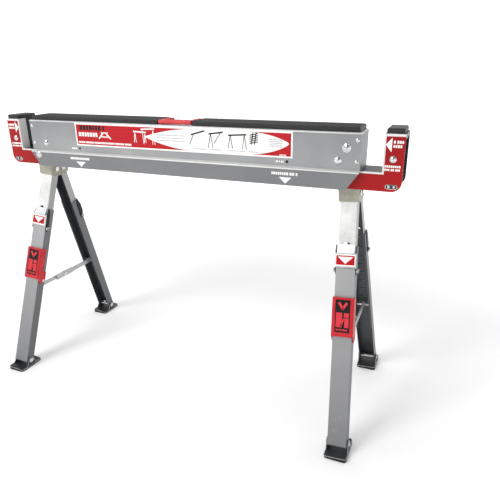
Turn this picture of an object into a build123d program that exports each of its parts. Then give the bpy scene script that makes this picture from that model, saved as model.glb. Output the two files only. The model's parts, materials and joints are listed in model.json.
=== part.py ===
"""Folding sawhorse: a folded steel beam with two leg pairs that swing up inside it.

Each leg pair hangs on one head. A head swings about a pin across the beam (along Y). Its two legs
hinge on the head, are held apart by a two-link brace, telescope to seven longer settings, and stand
on swivel feet. The two front legs carry a lock lever as well. The left pair stows in the wide skirt of the beam, the right pair in the body above it.

X runs along the beam, Y across it and Z is up. The origin is on the floor under the middle.
All sizes are millimetres.
"""
from build123d import *
import math
import os

# ---- beam -------------------------------------------------------------------------------------
BEAM_LENGTH = 828.0
SHEET = 1.5              # folded sheet of the beam and its end plates
BODY_WIDTH = 76.0        # upper part of the beam
BODY_DEPTH = 74.0        # from the ledge to the steel top
LEDGE = 8.0              # the lower part is wider by this on each side
SKIRT_DEPTH = 37.0
SKIRT_CORNER = 24.0      # slanted corner at each lower end of the skirt
BEND = 3.0               # outer radius of the folds
ACCESSORY_HOLE_R = 3.0   # two plain holes in the front face
ACCESSORY_SPACING = 530.0
ACCESSORY_RISE = 10.5    # above the ledge
GUIDE_INSET = 44.0       # guide rivets, from the beam's end
GUIDE_RISE = 19.0        # and above the ledge
PLATE_FLANGE = 14.0      # flanges of the end plates inside the walls
PLATE_RIVET_INSET = 7.0
PLATE_RIVET_RISES = (18.0, 60.0)
PLATE_RIVET_HEAD = 4.0

# ---- top pads and carry handle ----------------------------------------------------------------
PAD_HEIGHT = 10.0
PAD_MARGIN = 7.0         # steel left beside the pads
PAD_END_INSET = 4.0
PAD_GAP = 89.0           # free length of steel for the handle
PAD_CHAMFER = 2.0
HANDLE_LENGTH = 82.0
HANDLE_THICK = 8.0
HANDLE_GRIP = 18.0       # width of the grip across the beam
HANDLE_ARM = 9.0         # width of each side arm along the beam
HANDLE_PIN_R = 2.5
LUG = 2.4                # sheet of the handle's lugs
LUG_HALF = 7.0           # half their width across the beam
HANDLE_PLAY = 0.5        # between the handle and its lugs

# ---- support arms -----------------------------------------------------------------------------
SLOT_WIDTH = 42.0        # joist slot between the beam's end and the arm's upright
UPRIGHT = 39.0
ARM_MARGIN = 6.0         # an arm is narrower than the body by this on each side
ARM_SHEET = 1.5
ARM_CORNER_R = 20.0
ARM_TUCK = 30.0          # how far the arm's foot reaches inside the skirt
ARM_BOLT_DROP = 48.0     # below the steel top
ARM_BOLT_R = 3.0
ARM_SLOT_LENGTH = 21.0
ARM_SLOT_WIDTH = 7.0
ARM_SLOT_RISE = 10.0     # above the arm's lower edge
ARM_BOLT_HEAD = 3.2
ARM_FOOT_SLANT = 22.0    # the foot's inner end leans outwards by this
ARM_PAD_INSET = 3.0
FLAP = 9.0               # cap folded down at the far end

# ---- heads and swing pins ---------------------------------------------------------------------
SPLAY = 4.3              # outward lean of each pair, degrees
SPREAD = 18.3            # lean of each leg to the front or rear, degrees
HINGE_DROP = 14.0        # hinge pins below the skirt
HINGE_INSET = 20.0       # hinge pins, from the beam's end
RISE_LEFT = 42.0         # swing pin above the hinge pins, in the skirt
RISE_RIGHT = 95.5        # the same for the pair that stows above the other
HEAD_WIDTH = 59.0        # across the beam
HEAD_SHEET = 2.0
SWING_PIN_R = 5.0
SPACER_WALL = 1.0
SPACER_GAP = 0.4         # between a spacer and the head
DOME_R = 8.0
HINGE_PIN_R = 4.0
PIN_FIT = 0.05           # radial clearance of a pin that turns

# ---- legs -------------------------------------------------------------------------------------
LEG_REACH = 517.8        # hinge pin to foot pin
LEG_SHEET = 1.5
UPPER_WIDTH = 35.0
UPPER_DEPTH = 22.0
LEG_OVERLAP = 114.2      # upper leg still inside the lower one at the longest setting
SIDE_PLAY = 1.0          # between upper and lower leg, each side
FACE_PLAY = 0.5
CHEEK_PLAY = 0.9         # between the upper leg and the head's cheeks
LEG_GAP = 0.8            # between the two legs when they are folded together
LOWER_TOP = 108.0        # top of the lower leg's walls, below the hinge pin
FACE_TOP = 114.0         # its face is cut back for the latch
HEIGHT_STEP = 25.4
HEIGHT_STEPS = 7
NOTCH_FIRST = 105.3      # first half-moon notch below the hinge pin
NOTCH_R = 7.0
NOTCH_HEIGHT = 5.0
WINDOW_TOP = 127.0       # opening in the lower leg behind the latch
WINDOW_BOTTOM = 137.0
WINDOW_HALF = 9.0

# ---- height latch, lock lever -----------------------------------------------------------------
LATCH_TOP = 122.0
LATCH_BOTTOM = 152.0
LATCH_LIP = 17.0         # sloping lip above the face
LATCH_TAIL = 15.0        # side plates below the face
LATCH_SHEET = 1.5
LATCH_PROUD = 4.5        # face above the lower leg
LATCH_PIN = 158.0
LATCH_PIN_DEPTH = 5.0    # behind the lower leg's face
LEVER_TOP = 213.0
LEVER_BOTTOM = 293.0
LEVER_PIN = 298.0
LEVER_PIN_DEPTH = 16.0   # behind the lower leg's face
LEVER_WALL = 2.2
LEVER_FACE = 5.0
LEVER_SIDE = 13.0        # depth of its side walls behind the face
EAR_R = 7.5
STUD_R = 2.5
RUB = 0.4                # clearance of pieces that move over the leg

# ---- brace ------------------------------------------------------------------------------------
BRACE_DOWN = 326.0       # brace pin below the hinge pin, on the upper leg
BRACE_PIN_R = 3.0
BRACE_SHEET = 3.0
BRACE_SLIM = 10.0
BRACE_WIDE = 16.0
BRACE_OVERLAP = 32.0     # wide link past the knuckle, the same on both sides of it
BRACE_SPLIT = 0.4        # half the gap between the links

# ---- feet -------------------------------------------------------------------------------------
FOOT_CLEAR = 1.8         # between a leg's round end and its foot's base plate
FOOT_LENGTH = 66.0
FOOT_MARGIN = 1.0        # base plate outside the ears
FOOT_CORNER_R = 5.0
EAR_BASE = 15.0          # half the width of an ear where it meets the base plate
FOOT_SHEET = 2.0
FOOT_PIN_R = 4.0
END_MARGIN = 1.0         # a lower leg's round end, outside the upper leg's depth
SOLE = 4.2               # rubber under the pin
EAR_GAP = 0.5            # between the foot's ears and the leg
FOOT_PIN_FIT = 0.1       # radial clearance of the foot pin
FOOT_PIN_PLAY = 0.2      # between an ear and the pin's head

# ---- worked-out places ------------------------------------------------------------------------
LEG_BACK = -UPPER_DEPTH / 2                       # open edges of both channels
UPPER_FACE = UPPER_DEPTH / 2
SKIRT_WIDTH = BODY_WIDTH + 2 * LEDGE
PAD_WIDTH = BODY_WIDTH - 2 * PAD_MARGIN
ARM_WIDTH = BODY_WIDTH - 2 * ARM_MARGIN
LOWER_WIDTH = UPPER_WIDTH + 2 * (SIDE_PLAY + LEG_SHEET)
END_R = UPPER_FACE + END_MARGIN                   # round end of a lower leg
FOOT_DROP = END_R + FOOT_CLEAR + FOOT_SHEET + SOLE   # foot pin above the floor
FOOT_WIDTH = LOWER_WIDTH + 2 * (EAR_GAP + FOOT_SHEET + FOOT_MARGIN)
LOWER_FACE = UPPER_FACE + FACE_PLAY + LEG_SHEET
HINGE_Y = UPPER_DEPTH / 2 + LEG_GAP / 2
EXTENSION = HEIGHT_STEP * HEIGHT_STEPS
UPPER_LENGTH = LOWER_TOP + EXTENSION + LEG_OVERLAP   # below the hinge pin
LEAN = math.cos(math.radians(SPREAD))
HINGE_Z = FOOT_DROP + LEG_REACH * LEAN * math.cos(math.radians(SPLAY))
SKIRT_Z = HINGE_Z + HINGE_DROP
LEDGE_Z = SKIRT_Z + SKIRT_DEPTH
STEEL_TOP = LEDGE_Z + BODY_DEPTH
BEAM_END = BEAM_LENGTH / 2
HINGE_X = BEAM_END - HINGE_INSET
UPRIGHT_X = BEAM_END + SLOT_WIDTH
ARM_END = UPRIGHT_X + UPRIGHT
HEAD_CHEEK = UPPER_WIDTH / 2 + CHEEK_PLAY         # inner face of a cheek
HEAD_HALF = HEAD_CHEEK + HEAD_SHEET
BRACE_REACH = HINGE_Y + BRACE_DOWN * math.sin(math.radians(SPREAD))
HANDLE_PIN_Y = PAD_WIDTH / 2 - HANDLE_THICK
HANDLE_PIN_Z = STEEL_TOP + PAD_HEIGHT - HANDLE_THICK / 2
PIN_HEAD = 1.6


def slab(x0, x1, y0, y1, z0, z1):
    """A plain block between two corners."""
    return Pos((x0 + x1) / 2, (y0 + y1) / 2, (z0 + z1) / 2) * Box(x1 - x0, y1 - y0, z1 - z0)


def rod_x(radius, x0, x1, y, z):
    """A round bar along X."""
    return Pos((x0 + x1) / 2, y, z) * Rot(0, 90, 0) * Cylinder(radius, x1 - x0)


def rod_y(radius, y0, y1, x, z):
    """A round bar along Y."""
    return Pos(x, (y0 + y1) / 2, z) * Rot(90, 0, 0) * Cylinder(radius, y1 - y0)


def dome_y(radius, height, x, y, z, side):
    """A domed head that stands on a face across Y, outwards on the given side."""
    ball = (radius ** 2 + height ** 2) / (2 * height)
    cap = Sphere(ball) & slab(-radius, radius, -radius, radius, ball - height, ball)
    cap = Pos(0, 0, height - ball) * cap
    return Pos(x, y, z) * Rot(-90 * side, 0, 0) * cap


def plate_xz(points, y0, y1):
    """A plate across Y with an outline in X and Z."""
    face = make_face(Plane.XZ * Polyline(*points, close=True))
    return Pos(0, y1, 0) * extrude(face, y1 - y0, dir=(0, -1, 0))


def plate_yz(points, x0, x1):
    """A plate across X with an outline in Y and Z."""
    face = make_face(Plane.YZ * Polyline(*points, close=True))
    return Pos(x0, 0, 0) * extrude(face, x1 - x0, dir=(1, 0, 0))


def write(shape, name):
    """Export one node; a list is a group of separate solids."""
    if isinstance(shape, (list, tuple)):
        shape = Compound(children=[s for piece in shape for s in piece.solids()])
    shape.label = name
    export_step(shape, os.path.join("parts", name + ".step"))


# ---- beam and what is fixed to it -------------------------------------------------------------
def guide_places():
    """Short rivets beside each swing pin, as (x, z) on the right and left."""
    return [(side * (BEAM_END - GUIDE_INSET), LEDGE_Z + GUIDE_RISE) for side in (1, -1)]


def plate_rivet_places():
    """Small rivets of the end plates, as (x, z)."""
    return [(side * (BEAM_END - PLATE_RIVET_INSET), LEDGE_Z + rise)
            for side in (-1, 1) for rise in PLATE_RIVET_RISES]


def swing_pin_place(side):
    """Swing pin of the pair on this side, as (x, z)."""
    rise = RISE_RIGHT if side > 0 else RISE_LEFT
    return side * (HINGE_X - rise * math.tan(math.radians(SPLAY))), HINGE_Z + rise


def beam_shell():
    """One sheet folded to a top, two walls, an outward ledge and a wider skirt each side."""
    half, skirt = BODY_WIDTH / 2, SKIRT_WIDTH / 2
    outer = [(-skirt, SKIRT_Z), (-skirt, LEDGE_Z), (-half, LEDGE_Z), (-half, STEEL_TOP),
             (half, STEEL_TOP), (half, LEDGE_Z), (skirt, LEDGE_Z), (skirt, SKIRT_Z)]
    solid = plate_yz(outer, -BEAM_END, BEAM_END)
    folds = [e for e in solid.edges().filter_by(Axis.X) if e.center().Z > SKIRT_Z + SHEET]
    solid = fillet(folds, BEND)
    t = SHEET
    inner = [(-skirt + t, SKIRT_Z - 1), (-skirt + t, LEDGE_Z - t), (-half + t, LEDGE_Z - t),
             (-half + t, STEEL_TOP - t), (half - t, STEEL_TOP - t), (half - t, LEDGE_Z - t),
             (skirt - t, LEDGE_Z - t), (skirt - t, SKIRT_Z - 1)]
    hollow = plate_yz(inner, -BEAM_END - 1, BEAM_END + 1)
    bends = [e for e in hollow.edges().filter_by(Axis.X) if e.center().Z > SKIRT_Z + SHEET]
    solid -= fillet(bends, BEND - t)
    for side in (-1, 1):
        end, foot = side * BEAM_END, SKIRT_Z
        corner = [(end, LEDGE_Z - BEND), (end, foot - 1), (end - side * SKIRT_CORNER, foot - 1),
                  (end - side * SKIRT_CORNER, foot)]
        solid -= plate_xz(corner, -skirt - 1, skirt + 1)
    for side in (-1, 1):
        x, z = swing_pin_place(side)
        solid -= rod_y(SWING_PIN_R, -skirt, skirt, x, z)
    for x, z in guide_places():
        solid -= rod_y(HINGE_PIN_R, -skirt, skirt, x, z)
    for x, z in plate_rivet_places():
        solid -= rod_y(STUD_R, -skirt, skirt, x, z)
    for x in (-ACCESSORY_SPACING / 2, ACCESSORY_SPACING / 2):
        solid -= rod_y(ACCESSORY_HOLE_R, -half - 1, 0, x, LEDGE_Z + ACCESSORY_RISE)
    return solid


def end_plate(side):
    """A plate that closes the body's end, with two flanges inside the walls."""
    inside, roof = BODY_WIDTH / 2 - SHEET, STEEL_TOP - SHEET
    x0, x1 = sorted((side * BEAM_END, side * (BEAM_END - SHEET)))
    f0, f1 = sorted((side * BEAM_END, side * (BEAM_END - PLATE_FLANGE)))
    plate = slab(x0, x1, -inside, inside, LEDGE_Z, roof)
    corners = plate.edges().filter_by(Axis.X).sort_by(Axis.Z)[-2:]
    plate = fillet(corners, BEND)
    for y in (-inside, inside - SHEET):
        plate += slab(f0, f1, y, y + SHEET, LEDGE_Z, roof - BEND)
    for x, z in plate_rivet_places():
        plate -= rod_y(STUD_R, -inside - 1, inside + 1, x, z)
    return plate


def wall_rivet(x, z, wall, shank_r, head_r, inside, deep=0.0):
    """Rivets through both walls at one place: a shank, a domed head and a small closed end."""
    group = []
    for side in (-1, 1):
        y0, y1 = sorted((side * (wall - SHEET - deep), side * wall))
        body = rod_y(shank_r, y0, y1, x, z)
        body += dome_y(head_r, head_r * 0.45, x, side * wall, z, side)
        y2, y3 = sorted((side * (wall - SHEET - deep), side * (wall - SHEET - deep - inside)))
        body += rod_y(head_r * 0.8, y2, y3, x, z)
        group.append(body)
    return group


def top_pad(side):
    """A ribbed rubber strip on the steel top, with bevelled edges."""
    x0, x1 = sorted((side * PAD_GAP / 2, side * (BEAM_END - PAD_END_INSET)))
    pad = slab(x0, x1, -PAD_WIDTH / 2, PAD_WIDTH / 2, STEEL_TOP, STEEL_TOP + PAD_HEIGHT)
    return chamfer(pad.faces().sort_by(Axis.Z)[-1].edges(), PAD_CHAMFER)


def carry_handle():
    """A flat bail that lies between the pads and flips up about a pin along its rear side."""
    half, top = HANDLE_LENGTH / 2, STEEL_TOP + PAD_HEIGHT
    front = -PAD_WIDTH / 2
    low = top - HANDLE_THICK
    grip = slab(-half, half, front, front + HANDLE_GRIP, low, top)
    grip = fillet(grip.edges().filter_by(Axis.X), HANDLE_THICK * 0.4)
    bail = grip
    for side in (-1, 1):
        x0, x1 = sorted((side * half, side * (half - HANDLE_ARM)))
        arm = slab(x0, x1, front + HANDLE_GRIP / 2, HANDLE_PIN_Y, low, top)
        arm += rod_x(HANDLE_THICK / 2, x0, x1, HANDLE_PIN_Y, HANDLE_PIN_Z)
        bail += arm
    return bail - rod_x(HANDLE_PIN_R + PIN_FIT, -half - 1, half + 1, HANDLE_PIN_Y, HANDLE_PIN_Z)


def handle_lugs():
    """Two lugs on the steel top that hold the handle's pin."""
    lugs = []
    for side in (-1, 1):
        x0 = side * (HANDLE_LENGTH / 2 + HANDLE_PLAY)
        x0, x1 = sorted((x0, x0 + side * LUG))
        lug = slab(x0, x1, HANDLE_PIN_Y - LUG_HALF, HANDLE_PIN_Y + LUG_HALF, STEEL_TOP, HANDLE_PIN_Z)
        lug += rod_x(HANDLE_THICK / 2, x0, x1, HANDLE_PIN_Y, HANDLE_PIN_Z)
        lugs.append(lug - rod_x(HANDLE_PIN_R, x0 - 1, x1 + 1, HANDLE_PIN_Y, HANDLE_PIN_Z))
    return lugs


def handle_pin():
    """The handle's pin, flush with its lugs."""
    half = HANDLE_LENGTH / 2 + HANDLE_PLAY + LUG
    return rod_x(HANDLE_PIN_R, -half, half, HANDLE_PIN_Y, HANDLE_PIN_Z)


def arm_bolt_place(side):
    return side * (UPRIGHT_X + UPRIGHT / 2 - 1), STEEL_TOP - ARM_BOLT_DROP


def arm_slot_place(side):
    return side * (UPRIGHT_X + UPRIGHT / 2), SKIRT_Z + ARM_SLOT_RISE


def support_arm(side):
    """An L of channel section: two cheeks joined by a web along the joist slot and a cap."""
    y1 = ARM_WIDTH / 2
    y0 = y1 - ARM_SHEET
    inner = BEAM_END - ARM_TUCK
    outline = [(inner, SKIRT_Z), (ARM_END, SKIRT_Z), (ARM_END, STEEL_TOP), (UPRIGHT_X, STEEL_TOP),
               (UPRIGHT_X, LEDGE_Z), (inner + ARM_FOOT_SLANT, LEDGE_Z)]
    cheek = plate_xz([(side * x, z) for x, z in outline], y0, y1)
    outer = cheek.edges().filter_by(Axis.Y)
    outer = [e for e in outer if abs(abs(e.center().X) - ARM_END) < 1 and e.center().Z < LEDGE_Z]
    cheek = fillet(outer, ARM_CORNER_R)
    bx, bz = arm_bolt_place(side)
    sx, sz = arm_slot_place(side)
    run = (ARM_SLOT_LENGTH - ARM_SLOT_WIDTH) / 2
    cheek -= rod_y(ARM_BOLT_R, y0 - 1, y1 + 1, bx, bz)
    for x in (sx - run, sx + run):
        cheek -= rod_y(ARM_SLOT_WIDTH / 2, y0 - 1, y1 + 1, x, sz)
    half = ARM_SLOT_WIDTH / 2
    cheek -= slab(sx - run, sx + run, y0 - 1, y1 + 1, sz - half, sz + half)
    arm = cheek + mirror(cheek, about=Plane.XZ)
    t = ARM_SHEET
    webs = [(BEAM_END - SHEET, UPRIGHT_X + t, LEDGE_Z - t, LEDGE_Z),
            (UPRIGHT_X, UPRIGHT_X + t, LEDGE_Z - t, STEEL_TOP),
            (UPRIGHT_X, ARM_END, STEEL_TOP - t, STEEL_TOP),
            (ARM_END - t, ARM_END, STEEL_TOP - FLAP, STEEL_TOP)]
    for x0, x1, z0, z1 in webs:
        a, b = sorted((side * x0, side * x1))
        arm += slab(a, b, -y0, y0, z0, z1)
    return arm


def arm_pad(side):
    """The rubber pad on top of one arm."""
    x0, x1 = sorted((side * (UPRIGHT_X + ARM_PAD_INSET), side * (ARM_END - ARM_PAD_INSET)))
    y1 = ARM_WIDTH / 2 - ARM_PAD_INSET
    pad = slab(x0, x1, -y1, y1, STEEL_TOP, STEEL_TOP + PAD_HEIGHT)
    return chamfer(pad.faces().sort_by(Axis.Z)[-1].edges(), PAD_CHAMFER)


def arm_bolts():
    """A domed bolt across each arm's upright."""
    group = []
    for side in (-1, 1):
        x, z = arm_bolt_place(side)
        y = ARM_WIDTH / 2
        bolt = rod_y(ARM_BOLT_R, -y, y, x, z)
        for end in (-1, 1):
            bolt += dome_y(DOME_R * 0.85, ARM_BOLT_HEAD, x, end * y, z, end)
        group.append(bolt)
    return group


def swing_pins():
    """The two domed pins across the beam that the heads swing on."""
    group = []
    for side, width in ((-1, SKIRT_WIDTH), (1, BODY_WIDTH)):
        x, z = swing_pin_place(side)
        pin = rod_y(SWING_PIN_R, -width / 2, width / 2, x, z)
        for end in (-1, 1):
            pin += dome_y(DOME_R, 3.6, x, end * width / 2, z, end)
        group.append(pin)
    return group


def swing_spacers():
    """Four tubes that centre each head between the walls."""
    group = []
    for side, width in ((-1, SKIRT_WIDTH), (1, BODY_WIDTH)):
        x, z = swing_pin_place(side)
        y0, y1 = HEAD_WIDTH / 2 + SPACER_GAP, width / 2 - SHEET
        for end in (-1, 1):
            a, b = sorted((end * y0, end * y1))
            tube = rod_y(SWING_PIN_R + SPACER_WALL, a, b, x, z)
            group.append(tube - rod_y(SWING_PIN_R, a, b, x, z))
    return group


# ---- one leg pair, in its head's frame --------------------------------------------------------
# The frame's origin is on the swing pin; x points outwards along the beam, and -z runs down the
# middle of the pair. Leg "a" leans to -y and leg "b" to +y.
def head(rise):
    """A box of two pin plates and two hinge cheeks."""
    y1 = HEAD_WIDTH / 2
    y0 = y1 - HEAD_SHEET
    # the front plate ends where the open leg's face passes it
    stop = (y0 - HINGE_Y - UPPER_FACE / LEAN - 0.2) / math.tan(math.radians(SPREAD))
    plate = slab(-HEAD_HALF, HEAD_HALF, y0, y1, -rise - stop, 0) + rod_y(HEAD_HALF, y0, y1, 0, 0)
    plate -= rod_y(SWING_PIN_R + PIN_FIT, y0 - 1, y1 + 1, 0, 0)
    cheek = slab(HEAD_CHEEK, HEAD_HALF, -y1, y1, -rise, -HEAD_SHEET)
    for y in (-HINGE_Y, HINGE_Y):
        cheek += rod_x(y1 - HINGE_Y, HEAD_CHEEK, HEAD_HALF, y, -rise)
    cheek += slab(HEAD_CHEEK, HEAD_HALF, -HINGE_Y, HINGE_Y, -rise - (y1 - HINGE_Y), -rise)
    for y in (-HINGE_Y, HINGE_Y):
        cheek -= rod_x(HINGE_PIN_R, HEAD_CHEEK - 1, HEAD_HALF + 1, y, -rise)
    box = plate + mirror(plate, about=Plane.XZ) + cheek + mirror(cheek, about=Plane.YZ)
    return box


def hinge_pins(rise):
    """Two headed pins between the cheeks."""
    group = []
    for y in (-HINGE_Y, HINGE_Y):
        pin = rod_x(HINGE_PIN_R, -HEAD_HALF, HEAD_HALF, y, -rise)
        for side in (-1, 1):
            x0, x1 = sorted((side * HEAD_HALF, side * (HEAD_HALF + PIN_HEAD)))
            pin += rod_x(HINGE_PIN_R + 2, x0, x1, y, -rise)
        group.append(pin)
    return group


# Each leg is drawn hanging straight down from its hinge pin, with its outer face towards +y.
def upper_leg():
    """An open channel with round-ended walls at the hinge and notches for the height latch."""
    half, t = UPPER_WIDTH / 2, LEG_SHEET
    leg = slab(-half, half, LEG_BACK, UPPER_FACE, -UPPER_LENGTH, 0)
    leg = fillet([e for e in leg.edges().filter_by(Axis.Z) if e.center().Y > 0], t)
    leg += rod_x(UPPER_FACE, -half, half, 0, 0)
    leg -= slab(-half + t, half - t, LEG_BACK - 1, UPPER_FACE - t, -UPPER_LENGTH - 1, UPPER_FACE + 1)
    leg -= slab(-half - 1, half + 1, UPPER_FACE - t, UPPER_FACE + 1, -2.0, UPPER_FACE + 1)
    leg -= rod_x(HINGE_PIN_R + PIN_FIT, -half - 1, half + 1, 0, 0)
    leg -= rod_x(BRACE_PIN_R, -half - 1, half + 1, 0, -BRACE_DOWN)
    for k in range(HEIGHT_STEPS + 2):
        z = -(NOTCH_FIRST + k * HEIGHT_STEP)
        disc = rod_y(NOTCH_R, UPPER_FACE - t - 1, UPPER_FACE + 1, 0, z)
        leg -= disc & slab(-NOTCH_R, NOTCH_R, 0, UPPER_FACE + 2, z, z + NOTCH_HEIGHT)
    return leg


def stud_places(lever):
    """Studs of a lower leg: distance below the hinge pin, depth behind the face, sheet they hold."""
    places = [(LATCH_PIN, LATCH_PIN_DEPTH, LATCH_SHEET)]
    if lever:
        places.append((LEVER_PIN, LEVER_PIN_DEPTH, LEVER_WALL))
    return places


def lower_leg(lever):
    """The wider channel that slides on the upper one, round-ended at the foot pin."""
    half, t, back = LOWER_WIDTH / 2, LEG_SHEET, LEG_BACK
    leg = slab(-half, half, back, LOWER_FACE, -LEG_REACH, -LOWER_TOP)
    leg = fillet([e for e in leg.edges().filter_by(Axis.Z) if e.center().Y > 0], t)
    leg += rod_x(END_R, -half, half, back + END_R, -LEG_REACH)
    leg -= slab(-half + t, half - t, back - 1, LOWER_FACE - t, -LEG_REACH - END_R - 1, -LOWER_TOP + 1)
    leg -= slab(-half + t, half - t, LOWER_FACE - t - 1, LOWER_FACE + 1, -FACE_TOP, -LOWER_TOP + 1)
    leg -= slab(-WINDOW_HALF, WINDOW_HALF, LOWER_FACE - t - 1, LOWER_FACE + 1,
                -WINDOW_BOTTOM, -WINDOW_TOP)
    leg -= rod_x(FOOT_PIN_R, -half - 1, half + 1, 0, -LEG_REACH)
    for down, depth, wall in stud_places(lever):
        leg -= rod_x(STUD_R, -half - 1, half + 1, LOWER_FACE - depth, -down)
    return leg


def leg_pins(lever):
    """Studs of the latch and of any lever, one in each wall, and the pin through the foot."""
    half = LOWER_WIDTH / 2
    group = []
    for down, depth, wall in stud_places(lever):
        for side in (-1, 1):
            y, z = LOWER_FACE - depth, -down
            face = half + RUB + wall + RUB / 2
            x0, x1 = sorted((side * (half - LEG_SHEET), side * face))
            stud = rod_x(STUD_R, x0, x1, y, z)
            x2, x3 = sorted((side * face, side * (face + 0.8)))
            group.append(stud + rod_x(STUD_R + 1.2, x2, x3, y, z))
    face = half + EAR_GAP + FOOT_SHEET + FOOT_PIN_PLAY
    pin = rod_x(FOOT_PIN_R, -face, face, 0, -LEG_REACH)
    for side in (-1, 1):
        x0, x1 = sorted((side * face, side * (face + PIN_HEAD)))
        pin += rod_x(FOOT_PIN_R + 2, x0, x1, 0, -LEG_REACH)
    group.append(pin)
    return group


def height_latch():
    """A folded cap over the lower leg's end: face, sloping lip and two pointed side plates."""
    inner = LOWER_WIDTH / 2 + RUB
    outer = inner + LATCH_SHEET
    back, front = LOWER_FACE + RUB, LOWER_FACE + LATCH_PROUD
    face = slab(-outer, outer, back, front, -LATCH_BOTTOM, -LATCH_TOP)
    face = fillet([e for e in face.edges().filter_by(Axis.Z) if e.center().Y > front - 0.1], 3)
    lip_y = UPPER_FACE + RUB
    tip, end = -LATCH_TOP + LATCH_LIP, -FACE_TOP + 0.5
    lip = plate_yz([(back, -LATCH_TOP - 2), (front, -LATCH_TOP - 0.01), (lip_y + 1.5, tip),
                    (lip_y, tip), (lip_y, end), (back, end)], -UPPER_WIDTH / 2, UPPER_WIDTH / 2)
    side = plate_yz([(back + 1, -LATCH_TOP), (UPPER_FACE - 2, -LATCH_TOP + LATCH_LIP),
                     (UPPER_FACE - 8, -LATCH_TOP + 2), (UPPER_FACE - 9, -LATCH_BOTTOM - LATCH_TAIL + 6),
                     (UPPER_FACE - 4, -LATCH_BOTTOM - LATCH_TAIL), (back + 1, -LATCH_BOTTOM + 2)],
                    inner, outer)
    side -= rod_x(STUD_R + PIN_FIT, inner - 1, outer + 1, LOWER_FACE - LATCH_PIN_DEPTH, -LATCH_PIN)
    return face + lip + side + mirror(side, about=Plane.YZ)


def lock_lever():
    """A moulded U over the lower leg that turns on two low ears."""
    inner = LOWER_WIDTH / 2 + RUB
    outer = inner + LEVER_WALL
    back, front = LOWER_FACE + RUB, LOWER_FACE + RUB + LEVER_FACE
    face = slab(-outer, outer, back, front, -LEVER_BOTTOM, -LEVER_TOP)
    face = fillet([e for e in face.edges().filter_by(Axis.Z) if e.center().Y > front - 0.1], 2.5)
    pin_y = LOWER_FACE - LEVER_PIN_DEPTH
    side = slab(inner, outer, LOWER_FACE - LEVER_SIDE, front - 2.5, -LEVER_BOTTOM, -LEVER_TOP)
    side += plate_yz([(front - 2.5, -LEVER_BOTTOM), (front - 2.5, -LEVER_BOTTOM + 30),
                      (pin_y - EAR_R, -LEVER_PIN + 22), (pin_y - EAR_R, -LEVER_PIN),
                      (pin_y, -LEVER_PIN - EAR_R), (pin_y + EAR_R, -LEVER_PIN - EAR_R)], inner, outer)
    side -= rod_x(STUD_R + PIN_FIT, inner - 1, outer + 1, pin_y, -LEVER_PIN)
    return face + side + mirror(side, about=Plane.YZ)


def brace_bar(leg, height, far):
    """One flat brace link from its leg pin towards the knuckle, along y from the pair's middle."""
    sign = -1 if leg == "a" else 1
    x0, x1 = sorted((sign * BRACE_SPLIT, sign * (BRACE_SPLIT + BRACE_SHEET)))
    start, z = sign * BRACE_REACH, 0
    y0, y1 = sorted((start, sign * far))
    bar = slab(x0, x1, y0, y1, z - height / 2, z + height / 2)
    bar += rod_x(BRACE_SLIM * 0.7, x0, x1, start, z)
    return bar, x0, x1, start


def brace_link(leg):
    """Leg "a" carries the wide link that overlaps the knuckle, leg "b" the slim one."""
    if leg == "a":
        bar, x0, x1, start = brace_bar(leg, BRACE_SLIM + 2, BRACE_OVERLAP - 4)
        wide = slab(x0, x1, -BRACE_OVERLAP, BRACE_OVERLAP, -BRACE_WIDE / 2, BRACE_WIDE / 2)
        bar += fillet(wide.edges().filter_by(Axis.X), 2)
    else:
        bar, x0, x1, start = brace_bar(leg, BRACE_SLIM, 0)
        bar += rod_x(BRACE_SLIM * 0.7, x0, x1, 0, 0)
    bar -= rod_x(BRACE_PIN_R + PIN_FIT, x0 - 1, x1 + 1, start, 0)
    bar -= rod_x(BRACE_PIN_R, x0 - 1, x1 + 1, 0, 0)
    return bar


def brace_rivets(leg):
    """The half of the knuckle rivet that sits in this link."""
    side = -1 if leg == "a" else 1
    x0, x1 = sorted((side * BRACE_SPLIT, side * (BRACE_SPLIT + BRACE_SHEET)))
    x2, x3 = sorted((side * (BRACE_SPLIT + BRACE_SHEET), side * (BRACE_SPLIT + BRACE_SHEET + PIN_HEAD)))
    return rod_x(BRACE_PIN_R, x0, x1, 0, 0) + rod_x(BRACE_PIN_R + 1.8, x2, x3, 0, 0)


def brace_pin():
    """The pin of one link, across the upper leg and flush with its walls."""
    return rod_x(BRACE_PIN_R, -UPPER_WIDTH / 2, UPPER_WIDTH / 2, 0, -BRACE_DOWN)


def foot_bracket():
    """A U of two ears on a base plate, level along y, drawn about the foot pin."""
    half = FOOT_LENGTH / 2
    base_top = -FOOT_DROP + SOLE + FOOT_SHEET
    base = slab(-FOOT_WIDTH / 2, FOOT_WIDTH / 2, -half, half, base_top - FOOT_SHEET, base_top)
    base = fillet(base.edges().filter_by(Axis.Z), FOOT_CORNER_R)
    x0 = LOWER_WIDTH / 2 + EAR_GAP
    ear = plate_yz([(-EAR_BASE, base_top), (EAR_BASE, base_top), (EAR_R, 0), (-EAR_R, 0)],
                   x0, x0 + FOOT_SHEET)
    ear += rod_x(EAR_R, x0, x0 + FOOT_SHEET, 0, 0)
    ear -= rod_x(FOOT_PIN_R + FOOT_PIN_FIT, x0 - 1, x0 + FOOT_SHEET + 1, 0, 0)
    return base + ear + mirror(ear, about=Plane.YZ)


def foot_sole(lean):
    """The rubber under a foot, cut level with the floor when the pair leans outwards."""
    half = FOOT_LENGTH / 2
    top = -FOOT_DROP + SOLE
    sole = slab(-FOOT_WIDTH / 2, FOOT_WIDTH / 2, -half, half, top - 3 * SOLE, top)
    sole = fillet(sole.edges().filter_by(Axis.Z), FOOT_CORNER_R)
    below = slab(-FOOT_WIDTH, FOOT_WIDTH, -FOOT_LENGTH, FOOT_LENGTH, -FOOT_DROP - 4 * SOLE, -FOOT_DROP)
    return sole - Rot(0, lean, 0) * below


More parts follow.
